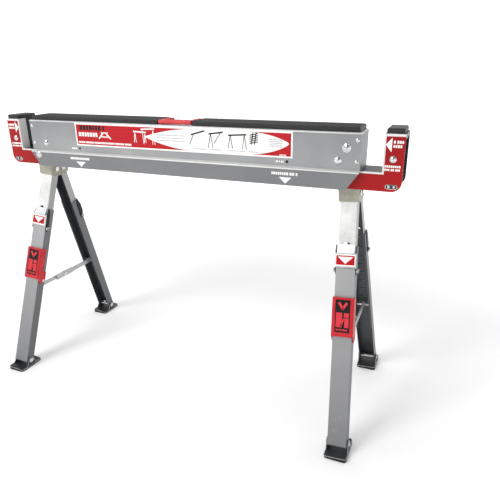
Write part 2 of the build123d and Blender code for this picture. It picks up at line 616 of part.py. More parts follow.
# ---- placing --------------------------------------------------------------------------------
def pair_frame(side):
    """From a head's frame to the sawhorse."""
    x, z = swing_pin_place(side)
    turn = 0 if side > 0 else 180
    return Pos(x, 0, z) * Rot(0, 0, turn) * Rot(0, -SPLAY, 0)


def leg_frame(rise, leg):
    """From a leg's own drawing to its head's frame."""
    turn = 180 if leg == "a" else 0
    y = -HINGE_Y if leg == "a" else HINGE_Y
    return Pos(0, y, -rise) * Rot(0, 0, turn) * Rot(SPREAD, 0, 0)


def brace_frame(rise):
    """From the brace's drawing to its head's frame."""
    down = BRACE_DOWN * LEAN
    return Pos(0, 0, -rise - down)


def leg_name(side, leg):
    """Rotating the left pair by half a turn puts its leg "a" at the rear."""
    front = (leg == "a") == (side > 0)
    return ("front" if front else "rear") + "_" + ("right" if side > 0 else "left")


def foot_frame(side, rise, leg):
    """The foot pin's place, with the foot level across the beam."""
    pin = (leg_frame(rise, leg) * Pos(0, 0, -LEG_REACH)).position
    turn = 180 if leg == "a" else 0
    return Pos(pin) * Rot(0, 0, turn)


def pair(side):
    """Every piece of one leg pair, as (name, shape)."""
    rise = (RISE_RIGHT if side > 0 else RISE_LEFT) / math.cos(math.radians(SPLAY))
    place = pair_frame(side)
    word = "right" if side > 0 else "left"
    pieces = [("head_" + word, place * head(rise)),
              ("hinge_pins_" + word, [place * pin for pin in hinge_pins(rise)])]
    for leg in ("a", "b"):
        name = leg_name(side, leg)
        lever = name.startswith("front")
        at = place * leg_frame(rise, leg)
        across = place * brace_frame(rise)
        sole_lean = SPLAY if leg == "b" else -SPLAY
        foot = place * foot_frame(side, rise, leg)
        pieces += [("upper_leg_" + name, at * upper_leg()),
                   ("lower_leg_" + name, at * lower_leg(lever)),
                   ("leg_pins_" + name, [at * pin for pin in leg_pins(lever)]),
                   ("height_latch_" + name, at * height_latch()),
                   ("brace_link_" + name, across * brace_link(leg)),
                   ("foot_bracket_" + name, foot * foot_bracket()),
                   ("foot_sole_" + name, foot * foot_sole(sole_lean))]
        if lever:
            pieces.append(("lock_lever_" + name, at * lock_lever()))
    return pieces


def knuckle_rivets(side):
    """Both halves of the knuckle rivet, as (leg name, solid)."""
    rise = (RISE_RIGHT if side > 0 else RISE_LEFT) / math.cos(math.radians(SPLAY))
    at = pair_frame(side) * brace_frame(rise)
    return [(leg_name(side, leg), at * brace_rivets(leg)) for leg in ("a", "b")]


def brace_pins(side):
    rise = (RISE_RIGHT if side > 0 else RISE_LEFT) / math.cos(math.radians(SPLAY))
    return [(leg_name(side, leg), pair_frame(side) * leg_frame(rise, leg) * brace_pin())
            for leg in ("a", "b")]


def build():
    """Write every node."""
    os.makedirs("parts", exist_ok=True)
    half = BODY_WIDTH / 2
    small = [wall_rivet(x, z, half, STUD_R, PLATE_RIVET_HEAD, 1.0, SHEET) for x, z in plate_rivet_places()]
    guides = [wall_rivet(x, z, half, HINGE_PIN_R, DOME_R, 2.5) for x, z in guide_places()]
    write(beam_shell(), "beam_shell")
    for side, word in ((-1, "left"), (1, "right")):
        write(end_plate(side), "end_plate_" + word)
        write(top_pad(side), "top_pad_" + word)
        write(support_arm(side), "support_arm_" + word)
    write([r for group in small for r in group], "end_plate_rivets")
    write([r for group in guides for r in group], "guide_rivets")
    write([arm_pad(-1), arm_pad(1)], "arm_pads")
    write(arm_bolts(), "arm_bolts")
    write(swing_pins(), "swing_pins")
    write(swing_spacers(), "swing_spacers")
    write(carry_handle(), "carry_handle")
    write(handle_lugs(), "handle_lugs")
    write(handle_pin(), "handle_pin")
    for side in (-1, 1):
        for name, shape in pair(side):
            write(shape, name)
        for name, shape in knuckle_rivets(side):
            write(shape, "brace_rivet_" + name)
        for name, shape in brace_pins(side):
            write(shape, "brace_pin_" + name)


build()
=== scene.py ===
import json
import math

import bpy
import numpy as np
from bpy.props import FloatProperty, FloatVectorProperty, IntProperty, PointerProperty, StringProperty
from mathutils import Euler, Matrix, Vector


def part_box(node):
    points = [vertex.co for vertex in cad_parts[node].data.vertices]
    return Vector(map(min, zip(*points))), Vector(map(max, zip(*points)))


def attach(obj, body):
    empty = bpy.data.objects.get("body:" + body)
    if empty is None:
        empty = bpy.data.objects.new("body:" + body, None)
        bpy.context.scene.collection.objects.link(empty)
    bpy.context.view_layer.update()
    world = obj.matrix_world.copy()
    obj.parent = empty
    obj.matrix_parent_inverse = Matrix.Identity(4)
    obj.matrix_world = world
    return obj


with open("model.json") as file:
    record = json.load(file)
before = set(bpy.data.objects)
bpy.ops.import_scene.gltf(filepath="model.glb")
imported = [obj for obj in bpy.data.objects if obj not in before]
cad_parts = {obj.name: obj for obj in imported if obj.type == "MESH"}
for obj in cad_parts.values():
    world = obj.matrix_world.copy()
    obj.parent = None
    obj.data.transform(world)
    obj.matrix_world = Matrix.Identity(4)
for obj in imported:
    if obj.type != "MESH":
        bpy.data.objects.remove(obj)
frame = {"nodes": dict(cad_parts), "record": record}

bl_info = {
    "name": "Folding sawhorse finish",
    "version": (1, 0, 0),
    "blender": (4, 5, 0),
    "location": "3D View > Sidebar > Sawhorse",
    "description": "Finishes, printed labels and small fittings for a folding steel sawhorse",
    "category": "Object",
}

MM = 0.001
JOINTS = {joint["name"]: joint for joint in frame["record"]["behaviour"]["joints"]}
LEGS = [name[len("spread_"):] for name in sorted(JOINTS) if name.startswith("spread_")]


# ---- where things are ---------------------------------------------------------------------------
def points_of(node):
    """A node's vertices in millimetres."""
    mesh = frame["nodes"][node].data
    flat = np.empty(len(mesh.vertices) * 3)
    mesh.vertices.foreach_get("co", flat)
    return flat.reshape(-1, 3) / MM


def corners(node):
    """Lowest and highest corner of a node, in millimetres."""
    low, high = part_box(node)
    return np.array(low) / MM, np.array(high) / MM


def wall_frame(y, facing):
    """Maps (u, v, w) millimetres to the frame: u along the beam, v up, w out of a wall across Y."""
    place = np.eye(4)
    place[:3, 0] = (1, 0, 0)
    place[:3, 1] = (0, 0, 1)
    place[:3, 2] = (0, facing, 0)
    place[:3, 3] = (0, y, 0)
    return place


def leg_frame(leg):
    """Maps (u, v, w) of a leg: u across its face, v up the leg from the hinge pin, w out of the face."""
    spread, foot = JOINTS["spread_" + leg], JOINTS["foot_" + leg]
    hinge = np.array(spread["pos_m"]) / MM
    along = hinge - np.array(foot["pos_m"]) / MM
    along /= np.linalg.norm(along)
    across = np.array(spread["axis"], float)
    across /= -np.linalg.norm(across)
    place = np.eye(4)
    place[:3, 0] = -across
    place[:3, 1] = along
    place[:3, 2] = np.cross(along, across)
    place[:3, 3] = hinge
    return place


def foot_frame(leg):
    """Maps (u, v, w) of a foot: u along its pin, v level and outwards, w up, from the foot pin."""
    own = leg_frame(leg)
    place = np.eye(4)
    place[:3, 0] = own[:3, 0]
    place[:3, 1] = (0, math.copysign(1, own[1, 2]), 0)
    place[:3, 2] = np.cross(place[:3, 0], place[:3, 1])
    if place[2, 2] < 0:
        place[:3, 0], place[:3, 2] = -place[:3, 0], -place[:3, 2]
    place[:3, 3] = np.array(JOINTS["foot_" + leg]["pos_m"]) / MM
    return place


def box_in(node, place):
    """Lowest and highest corner of a node measured along a frame's own axes."""
    local = (points_of(node) - place[:3, 3]) @ place[:3, :3]
    return local.min(axis=0), local.max(axis=0)


# ---- surfaces ------------------------------------------------------------------------------------
def loft(rings, closed=False):
    """Quads between successive closed rings (n, m, 3), with flat ends, or joined end to end."""
    count, around = rings.shape[:2]
    index = np.arange(count * around).reshape(count, around)
    here = index if closed else index[:-1]
    there = np.roll(index, -1, axis=0) if closed else index[1:]
    quads = np.stack([here, np.roll(here, -1, 1), np.roll(there, -1, 1), there], -1).reshape(-1, 4)
    faces = quads.tolist()
    if not closed:
        faces += [index[0][::-1].tolist(), index[-1].tolist()]
    return rings.reshape(-1, 3), faces


def placed(points, place):
    """Carries (u, v, w) points into the frame."""
    return points @ place[:3, :3].T + place[:3, 3]


def plate(place, lower, upper, w=0.0, thick=0.25):
    """A thin closed plate between two edge curves: the four-point section lower, upper, upper and
    lower again, one thickness down, is carried along the curves' shared parameter."""
    lower, upper = np.asarray(lower, float), np.asarray(upper, float)
    high = np.full((len(lower), 1), w + thick)
    deep = np.full((len(lower), 1), w)
    rings = np.stack([np.hstack([lower, high]), np.hstack([upper, high]),
                      np.hstack([upper, deep]), np.hstack([lower, deep])], axis=1)
    return loft(placed(rings, place))


def bar(place, u0, v0, u1, v1, width, w=0.0, thick=0.25):
    """A straight plate of one width between two points."""
    start, end = np.array([u0, v0], float), np.array([u1, v1], float)
    run = (end - start) / np.linalg.norm(end - start)
    side = np.array([-run[1], run[0]]) * width / 2
    return plate(place, [start - side, end - side], [start + side, end + side], w, thick)


def panel(place, u0, u1, v0, v1, w=0.0, thick=0.25, round_r=0.0):
    """A rectangle with round corners: near each end, at a distance s inside the corner circle's
    middle, the edge falls by r - sqrt(r^2 - s^2)."""
    turn = np.linspace(0, math.pi / 2, 7 if round_r else 1)
    inset = round_r * (1 - np.cos(turn))
    fall = round_r * (1 - np.sin(turn))
    u = np.concatenate([u0 + inset, (u1 - inset)[::-1]])
    drop = np.concatenate([fall, fall[::-1]])
    return plate(place, np.stack([u, v0 + drop], 1), np.stack([u, v1 - drop], 1), w, thick)


def triangle(place, base0, base1, tip, w=0.0, thick=0.25):
    """A three-cornered plate between one side and the opposite corner."""
    tip = np.array(tip, float)
    near = tip + (np.array([base0, base1], float) - tip) * 0.002
    return plate(place, [base0, near[0]], [base1, near[1]], w, thick)


def turned(place, u, v, profile, sides=32):
    """A turned ring: the closed (radius, height) profile is carried round the w axis."""
    angle = np.linspace(0, 2 * math.pi, sides, endpoint=False)[:, None]
    radius, height = np.array(profile, float).T
    rings = np.stack([u + radius * np.cos(angle), v + radius * np.sin(angle),
                      np.broadcast_to(height, (sides, len(height)))], axis=-1)
    return loft(placed(rings, place), closed=True)


def tube(path, radius, sides=10, closed=False):
    """A round wire: a circle carried along the path in the plane across its direction."""
    path = np.asarray(path, float)
    along = np.roll(path, -1, 0) - np.roll(path, 1, 0) if closed else np.gradient(path, axis=0)
    along /= np.linalg.norm(along, axis=1)[:, None]
    hint = np.where(np.abs(along[:, :1]) < 0.8, [[1.0, 0, 0]], [[0, 1.0, 0]])
    side = np.cross(along, hint)
    side /= np.linalg.norm(side, axis=1)[:, None]
    other = np.cross(along, side)
    angle = np.linspace(0, 2 * math.pi, sides, endpoint=False)
    ring = np.cos(angle)[None, :, None] * side[:, None] + np.sin(angle)[None, :, None] * other[:, None]
    return loft(path[:, None] + radius * ring, closed)


def outward(verts, faces):
    """Turns a closed shell so that its signed volume is positive."""
    volume = 0.0
    for face in (np.array(f) for f in faces):
        a = verts[face[0]]
        for k in range(1, len(face) - 1):
            volume += np.dot(a, np.cross(verts[face[k]], verts[face[k + 1]]))
    return faces if volume > 0 else [face[::-1] for face in faces]


def piece(name, shells, material, body, slot, smooth=False):
    """One object made of closed shells, given in millimetres, that rides on a body."""
    verts, faces, start = [], [], 0
    for points, polygons in shells:
        polygons = outward(points - points.mean(axis=0), polygons)
        verts.append(points)
        faces += [[corner + start for corner in polygon] for polygon in polygons]
        start += len(points)
    mesh = bpy.data.meshes.new(name)
    mesh.from_pydata((np.concatenate(verts) * MM).tolist(), [], faces)
    mesh.polygons.foreach_set("use_smooth", [smooth] * len(mesh.polygons))
    mesh.validate()
    mesh.materials.append(material)
    obj = bpy.data.objects.new(name, mesh)
    bpy.context.scene.collection.objects.link(obj)
    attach(obj, body)
    return obj


# ---- materials -----------------------------------------------------------------------------------
def linear(code):
    """An sRGB hex value as linear red, green, blue and alpha."""
    values = [int(code[i:i + 2], 16) / 255 for i in (1, 3, 5)]
    return [c / 12.92 if c <= 0.04045 else ((c + 0.055) / 1.055) ** 2.4 for c in values] + [1.0]


def add_node(tree, kind, inputs=None, **settings):
    """Adds a node with its settings; an input takes a value or another node's output."""
    node = tree.nodes.new(kind)
    for key, value in settings.items():
        setattr(node, key, value)
    for socket, source in (inputs or {}).items():
        if isinstance(source, bpy.types.NodeSocket):
            tree.links.new(source, node.inputs[socket])
        else:
            node.inputs[socket].default_value = source
    return node


def start_material(name, roughness, metallic=0.0, **sockets):
    """An empty material with one shader; returns it with its tree, shader and place coordinates."""
    material = bpy.data.materials.new(name)
    material.use_nodes = True
    tree = material.node_tree
    shader = tree.nodes["Principled BSDF"]
    shader.inputs["Roughness"].default_value = roughness
    shader.inputs["Metallic"].default_value = metallic
    for key, value in sockets.items():
        shader.inputs[key.replace("_", " ")].default_value = value
    place = add_node(tree, "ShaderNodeTexCoord").outputs["Object"]
    return material, tree, shader, place


def noise(tree, place, size_mm, detail=3.0, stretch=(1, 1, 1)):
    """A noise whose features are about size_mm across, longer where stretch is below one."""
    spread = add_node(tree, "ShaderNodeMapping", {"Vector": place, "Scale": stretch})
    scale = 1 / (size_mm * MM)
    return add_node(tree, "ShaderNodeTexNoise",
                    {"Vector": spread.outputs[0], "Scale": scale, "Detail": detail}).outputs[0]


def ramp(tree, value, stops):
    """A colour ramp through (position, hex) stops."""
    node = add_node(tree, "ShaderNodeValToRGB", {0: value})
    while len(node.color_ramp.elements) < len(stops):
        node.color_ramp.elements.new(0.5)
    for element, (position, code) in zip(node.color_ramp.elements, stops):
        element.position = position
        element.color = linear(code)
    return node.outputs[0]


def mix(tree, factor, first, second):
    """Blends two colours, each a hex value or another node's output."""
    node = add_node(tree, "ShaderNodeMix", {0: factor}, data_type="RGBA")
    for socket, colour in ((6, first), (7, second)):
        if isinstance(colour, str):
            node.inputs[socket].default_value = linear(colour)
        else:
            tree.links.new(colour, node.inputs[socket])
    return node.outputs[2]


def maths(tree, operation, *values):
    """One arithmetic node."""
    return add_node(tree, "ShaderNodeMath", dict(enumerate(values)), operation=operation).outputs[0]


def bump(tree, shader, height, depth_mm, strength=0.5):
    """Joins a height to the shader's normal, chained onto any bump already there."""
    inputs = {"Height": height, "Distance": depth_mm * MM, "Strength": strength}
    if shader.inputs["Normal"].is_linked:
        inputs["Normal"] = shader.inputs["Normal"].links[0].from_socket
    node = add_node(tree, "ShaderNodeBump", inputs)
    tree.links.new(node.outputs[0], shader.inputs["Normal"])


def coordinate(tree, place):
    """The place coordinates as three values in millimetres."""
    scaled = add_node(tree, "ShaderNodeVectorMath", {0: place, 1: (1 / MM,) * 3}, operation="MULTIPLY")
    return add_node(tree, "ShaderNodeSeparateXYZ", {0: scaled.outputs[0]}).outputs


def powder_coat(name, light, dark, roughness=0.42, metallic=0.25, peel=0.03, shine=0.5):
    """Powder coat baked on steel: a slightly cloudy colour, a fine orange peel and soft gloss."""
    material, tree, shader, place = start_material(name, roughness, metallic, Specular_IOR_Level=shine)
    cloud = noise(tree, place, 90, 4)
    speck = noise(tree, place, 1.2, 2)      # real flake is finer; drawn at 1.2 mm so that it shows
    tone = maths(tree, "ADD", maths(tree, "MULTIPLY", cloud, 0.8), maths(tree, "MULTIPLY", speck, 0.2))
    tree.links.new(ramp(tree, tone, [(0.3, dark), (0.7, light)]), shader.inputs["Base Color"])
    bump(tree, shader, speck, peel, 0.4)
    return material, tree, shader, place


def beam_coat(colours):
    """Beam's grey powder coat; painted shade darkens top and skirt, painted highlight on folded ledge and top
    edge.
    """
    material, tree, shader, place = powder_coat("beam_powder_coat", colours.body_light, colours.body_dark)
    high = corners("beam_shell")[1]
    wall = corners("end_plate_left")[0]
    axes = coordinate(tree, place)
    side = maths(tree, "ABSOLUTE", axes[1])
    base = shader.inputs["Base Color"].links[0].from_socket
    # painted shade: the coat darkens from the ledge up towards the beam's upper edge
    rise = add_node(tree, "ShaderNodeMapRange",
                    {0: axes[2], 1: wall[2], 2: high[2], 3: 0.0, 4: 0.55}).outputs[0]
    base = mix(tree, rise, base, colours.body_top_shade)
    # painted shade: below the ledge the same coat is drawn darker over the skirt
    below = maths(tree, "LESS_THAN", axes[2], wall[2] - 2.0)
    shaded = mix(tree, below, base, mix(tree, 0.75, base, colours.skirt))
    # painted highlight: a light line along the folded ledge
    near = maths(tree, "LESS_THAN", maths(tree, "ABSOLUTE", maths(tree, "SUBTRACT", axes[2], wall[2] - 1.2)),
                 2.2)
    edge = mix(tree, maths(tree, "MULTIPLY", near, 0.9), shaded, colours.bare_edge_and_highlight)
    # painted highlight: a light line along the beam's top edge
    rim = maths(tree, "GREATER_THAN", axes[2], high[2] - 2.6)
    painted = mix(tree, maths(tree, "MULTIPLY", rim, 0.85), edge, colours.bare_edge_and_highlight)
    # painted shade: every face inside the shell gets the arms' dark inside colour
    ledge = high[1] - points_of("beam_shell")[points_of("beam_shell")[:, 2] > high[2] - 20, 1].max()
    limit = maths(tree, "SUBTRACT", high[1] - 0.8, maths(tree, "MULTIPLY", ledge,
                  maths(tree, "GREATER_THAN", axes[2], wall[2] - 0.8)))
    inside = maths(tree, "MULTIPLY", maths(tree, "LESS_THAN", side, limit),
                   maths(tree, "LESS_THAN", axes[2], high[2] - 0.8))
    shell = maths(tree, "MULTIPLY", inside,
                  maths(tree, "LESS_THAN", maths(tree, "ABSOLUTE", axes[0]), high[0] - 2.0))
    tree.links.new(mix(tree, shell, painted, colours.primer_and_shade), shader.inputs["Base Color"])
    return material


def arm_enamel(colours):
    """Red enamel on the outside of an arm's cheeks; the margins along the joist slot and the cap
    stay bare, and everything inside is dark-primed, with a painted highlight along the inner
    cheek edges and a painted reflection on the front part of the web."""
    material, tree, shader, place = powder_coat("arm_red_enamel", colours.red_light, colours.red_dark, 0.35,
                                                0.0,
                                              shine=0.2)
    high = corners("support_arm_right")[1]
    points = points_of("support_arm_right")
    upright = points[points[:, 2] > high[2] - 0.01, 0].min()
    ledge = corners("end_plate_right")[0][2]
    axes = coordinate(tree, place)
    out = maths(tree, "ABSOLUTE", axes[0])
    side = maths(tree, "ABSOLUTE", axes[1])
    base = shader.inputs["Base Color"].links[0].from_socket
    beside = maths(tree, "LESS_THAN", maths(tree, "ABSOLUTE", maths(tree, "SUBTRACT", out, upright)), 3.4)
    above = maths(tree, "GREATER_THAN", axes[2], ledge - 3.6)
    lower = maths(tree, "GREATER_THAN", axes[2], ledge - 3.6)
    floor = maths(tree, "MULTIPLY", lower, maths(tree, "LESS_THAN", axes[2], ledge + 0.3))
    short = maths(tree, "LESS_THAN", out, upright + 3.4)
    top = maths(tree, "GREATER_THAN", axes[2], high[2] - 4.6)
    margin = maths(tree, "MAXIMUM", maths(tree, "MULTIPLY", beside, above), top)
    margin = maths(tree, "MAXIMUM", margin, maths(tree, "MULTIPLY", floor, short))
    outer = mix(tree, margin, base, colours.bare_edge_and_highlight)
    # painted highlight along the inner cheek edges, and a painted reflection on the front part of the web
    # that faces the slot
    rim = maths(tree, "GREATER_THAN", side, high[1] - 1.45)
    facing = maths(tree, "LESS_THAN", maths(tree, "ABSOLUTE", maths(tree, "SUBTRACT", out, upright)), 0.3)
    strip = maths(tree, "MULTIPLY", facing, maths(tree, "LESS_THAN", axes[1], -high[1] * 0.25))
    inner = mix(tree, maths(tree, "MAXIMUM", rim, strip), colours.primer_and_shade, colours.bare_edge_and_highlight)
    cheek = maths(tree, "GREATER_THAN", side, high[1] - 0.3)
    tree.links.new(mix(tree, cheek, inner, outer), shader.inputs["Base Color"])
    return material


def zinc_plate(name, light, dark, roughness=0.28, metallic=0.85):
    """Zinc-plated steel: bright, with faint crystal patches and rolling lines along the part."""
    material, tree, shader, place = start_material(name, roughness, metallic)
    patch = noise(tree, place, 30, 2)
    line = noise(tree, place, 1.5, 2, (1, 1, 0.06))
    tone = maths(tree, "ADD", maths(tree, "MULTIPLY", patch, 0.6), maths(tree, "MULTIPLY", line, 0.4))
    tree.links.new(ramp(tree, tone, [(0.3, dark), (0.65, light)]), shader.inputs["Base Color"])
    rough = add_node(tree, "ShaderNodeMapRange", {0: patch, 3: roughness * 0.8, 4: roughness * 1.3})
    tree.links.new(rough.outputs[0], shader.inputs["Roughness"])
    bump(tree, shader, line, 0.02, 0.2)
    return material, tree, shader, place


def along(tree, place, origin, axis):
    """Distance in millimetres from an origin along an axis."""
    moved = add_node(tree, "ShaderNodeVectorMath", {0: place, 1: tuple(origin * MM)}, operation="SUBTRACT")
    scaled = tuple(np.asarray(axis) / MM)
    return add_node(tree, "ShaderNodeVectorMath", {0: moved.outputs[0], 1: scaled},
                    operation="DOT_PRODUCT").outputs[1]


def shade_channel(node, leg, tree, shader, place, sides, inside):
    """Paints shade on a leg's side walls, and darker painted shade on everything inside its U-section."""
    own = leg_frame(leg)
    high = box_in(node, own)[1]
    across = maths(tree, "ABSOLUTE", along(tree, place, own[:3, 3], own[:3, 0]))
    out = along(tree, place, own[:3, 3], own[:3, 2])
    on_side = maths(tree, "GREATER_THAN", across, high[0] - 0.25)
    on_face = maths(tree, "GREATER_THAN", out, high[2] - 1.2)
    base = shader.inputs["Base Color"].links[0].from_socket
    within = mix(tree, maths(tree, "MAXIMUM", on_side, on_face), inside, base)
    dark_side = mix(tree, maths(tree, "MULTIPLY", on_side, 0.8), within, sides)
    tree.links.new(mix(tree, on_face, dark_side, base), shader.inputs["Base Color"])


def upper_leg_zinc(leg, colours):
    """Bright zinc of an upper leg, with painted shade on its walls and darker painted shade inside."""
    material, tree, shader, place = zinc_plate("upper_leg_zinc_" + leg, colours.zinc_light, colours.zinc_dark,
                                               0.4, 0.3)
    shade_channel("upper_leg_" + leg, leg, tree, shader, place, colours.zinc_side_shade, colours.channel)
    return material


def latch_zinc(leg, colours):
    """Bright zinc of a latch's face and lip; its side plates are coloured near black."""
    material, tree, shader, place = zinc_plate("latch_zinc_" + leg, "#e2e3e4", "#b4b6b9", 0.3, 0.7)
    own = leg_frame(leg)
    high = box_in("height_latch_" + leg, own)[1]
    across = maths(tree, "ABSOLUTE", along(tree, place, own[:3, 3], own[:3, 0]))
    out = along(tree, place, own[:3, 3], own[:3, 2])
    plate_side = maths(tree, "MULTIPLY", maths(tree, "GREATER_THAN", across, high[0] - 1.7),
                       maths(tree, "LESS_THAN", out, high[2] - 2.6))
    base = shader.inputs["Base Color"].links[0].from_socket
    tree.links.new(mix(tree, plate_side, base, colours.latch_side_dark), shader.inputs["Base Color"])
    return material


def lower_leg_coat(leg, colours):
    """Grey powder coat of a lower leg: darker down the leg, scuffed near the foot, painted shade on its walls
    and inside.
    """
    material, tree, shader, place = powder_coat("lower_leg_coat_" + leg, colours.leg_light, colours.leg_dark,
                                                0.38, 0.3)
    own = leg_frame(leg)
    down = maths(tree, "MULTIPLY", along(tree, place, own[:3, 3], own[:3, 1]), -1.0)
    fade = add_node(tree, "ShaderNodeMapRange", {0: down, 1: 150.0, 2: 500.0, 3: 0.0, 4: 0.75}).outputs[0]
    base = shader.inputs["Base Color"].links[0].from_socket
    faded = mix(tree, fade, base, colours.leg_low)
    scuff = noise(tree, place, 5, 6, (1, 1, 0.25))
    low = add_node(tree, "ShaderNodeMapRange", {0: down, 1: 400.0, 2: 500.0, 3: 0.0, 4: 0.35}).outputs[0]
    worn = maths(tree, "MULTIPLY", maths(tree, "GREATER_THAN", scuff, 0.64), low)
    tree.links.new(mix(tree, worn, faded, colours.leg_light), shader.inputs["Base Color"])
    shade_channel("lower_leg_" + leg, leg, tree, shader, place, colours.leg_side_shade, colours.channel)
    return material


def moulded_rubber(name, colour, sheen, grain=0.8):
    """Moulded rubber: matt, faintly dusty, with a fine pebble grain."""
    material, tree, shader, place = start_material(name, 0.5, 0.0, IOR=1.5)
    dust = noise(tree, place, 30, 5)
    tree.links.new(ramp(tree, dust, [(0.35, colour), (0.8, sheen)]), shader.inputs["Base Color"])
    bump(tree, shader, noise(tree, place, grain, 2), 0.12, 0.6)
    return material


def moulded_plastic(name, light, dark, roughness=0.33):
    """Glass-filled nylon, injection moulded: saturated, softly glossy, with spark-eroded grain."""
    material, tree, shader, place = start_material(name, roughness, 0.0, Specular_IOR_Level=0.3)
    flow = noise(tree, place, 25, 2)
    tree.links.new(ramp(tree, flow, [(0.3, dark), (0.7, light)]), shader.inputs["Base Color"])
    bump(tree, shader, noise(tree, place, 0.7, 2), 0.05, 0.35)
    return material


def vinyl_print(name, colour, second=None, grid_mm=0.0, roughness=0.3):
    """Screen-printed vinyl: flat ink under a thin gloss film, with a faint woven grid if asked."""
    material, tree, shader, place = start_material(name, roughness, 0.0, Specular_IOR_Level=0.2)
    blotch = noise(tree, place, 40, 2)
    tone = ramp(tree, blotch, [(0.3, colour), (0.75, second or colour)])
    if grid_mm:
        axes = coordinate(tree, place)
        lines = [maths(tree, "LESS_THAN", maths(tree, "PINGPONG", axes[k], grid_mm / 2), 0.5) for k in (0, 2)]
        grid = maths(tree, "MULTIPLY", maths(tree, "MAXIMUM", *lines), 0.35)
        tone = mix(tree, grid, tone, "#7c0d14")
    tree.links.new(tone, shader.inputs["Base Color"])
    bump(tree, shader, noise(tree, place, 1.0, 2), 0.01, 0.2)
    return material


# ---- printed marks -------------------------------------------------------------------------------
def blocks(place, u0, u1, v, height, rng, w=0.0, thick=0.3):
    """A row of plain printed blocks of uneven width and even height, as wide words with gaps."""
    shells, u = [], u0
    while u < u1 - height * 0.4:
        wide = min(height * rng.uniform(0.5, 0.8), u1 - u)
        shells.append(panel(place, u, u + wide, v, v + height, w, thick))
        u += wide + height * (0.55 if rng.random() < 0.15 else 0.22)
    return shells


def sawhorse_sign(place, u, v, wide, high, tilt, legs, w, thick=0.3, weight=1.0):
    """A small drawing of a sawhorse: a bar with a tilt, and legs as (place on the bar, lean)."""
    rise = wide * math.tan(math.radians(tilt))
    shells = [bar(place, u, v + high - rise / 2, u + wide, v + high + rise / 2, 3.2 * weight, w, thick)]
    for share, lean in legs:
        start = u + wide * share
        top = v + high + rise * (share - 0.5)
        length = top - v if abs(lean) < 35 else high * 0.75
        shells.append(bar(place, start, top, start + length * math.tan(math.radians(lean)) * 0.9,
                          top - length, 1.5 * weight, w, thick))
    return shells


def lens(place, u0, u1, tip_v, low, high, first, last, w, thick):
    """A panel pointed at both ends: between a tip and its full height the edge follows
    half + half * sin, so it leaves the tip steeply and meets the straight middle smoothly."""
    rise = np.sin(np.linspace(0.02, math.pi / 2, 24))
    u = np.concatenate([np.linspace(u0, first, 24), np.linspace(last, u1, 24)])
    open_ = np.concatenate([rise ** 0.9, rise[::-1] ** 0.72])
    return plate(place, np.stack([u, tip_v + (low - tip_v) * open_], 1),
                 np.stack([u, tip_v + (high - tip_v) * open_], 1), w, thick)


# ---- settings ------------------------------------------------------------------------------------
def length(name, description, millimetres):
    """A length setting, kept in metres and given here in millimetres."""
    return FloatProperty(name=name, description=description, default=millimetres * MM, unit="LENGTH")


def tint(name, description, code):
    """A colour setting as an sRGB hex value."""
    return StringProperty(name=name, description=description, default=code)


class SawhorseColours(bpy.types.PropertyGroup):
    """Colours of the finishes, and of painted shade and painted highlights."""
    body_light: tint("Body light", "Lighter tone of the beam's grey powder coat", "#a6a7a7")
    body_dark: tint("Body dark", "Darker tone of the beam's grey powder coat", "#8b8c8e")
    # painted shade: darker grey towards the beam's upper edge
    body_top_shade: tint("Body top", "Grey towards the beam's upper edge", "#75767a")
    # painted shade: the skirt has the body's coat and is drawn darker
    skirt: tint("Skirt", "Grey powder coat of the skirt", "#66676a")
    # unpainted margins of the arms' red enamel, and painted highlights on the beam's ledge and top edge and
    # on the arms' inner edges
    bare_edge_and_highlight: tint("Bare edge", "Unpainted margins and folded edges", "#d9d9d7")
    # dark-primed inside of the arms, and painted shade inside the beam shell
    primer_and_shade: tint("Primer", "Dark primer inside the arms", "#2c3136")
    red_light: tint("Enamel light", "Lighter tone of the arms' red enamel", "#ab0d12")
    red_dark: tint("Enamel dark", "Darker tone of the arms' red enamel", "#93080c")
    label_red: tint("Label red", "Printed red of the labels", "#bb151f")
    label_white: tint("Label white", "Printed white of the labels", "#f2f2f0")
    print_grey: tint("Print grey", "Fine grey printing", "#a5a6a8")
    print_black: tint("Print black", "Black printing", "#17181a")
    lever_light: tint("Lever light", "Lighter tone of the red nylon levers", "#d02a31")
    lever_dark: tint("Lever dark", "Darker tone of the red nylon levers", "#b91d25")
    rubber: tint("Rubber", "Black rubber", "#101112")
    rubber_dust: tint("Rubber dust", "Dusty tone of the rubber", "#1c1d1f")
    zinc_light: tint("Zinc light", "Lighter tone of the zinc plating", "#eeeeec")
    zinc_dark: tint("Zinc dark", "Darker tone of the zinc plating", "#cfcfcc")
    # painted shade on the side walls of the upper legs
    zinc_side_shade: tint("Zinc side", "Side walls of the upper legs", "#8d8e8d")
    leg_light: tint("Leg light", "Lighter tone of the lower legs", "#b2b2b3")
    leg_dark: tint("Leg dark", "Darker tone of the lower legs", "#a5a5a7")
    leg_low: tint("Leg low", "Lower end of the lower legs", "#737476")
    # painted shade on the side walls of the lower legs
    leg_side_shade: tint("Leg side", "Side walls of the lower legs", "#55575a")
    # near-black colour of the latches' side plates
    latch_side_dark: tint("Black zinc", "Blackened side plates of the latches", "#26282a")
    # painted shade inside the leg channels
    channel: tint("Channel", "Inside of the leg channels", "#46494c")


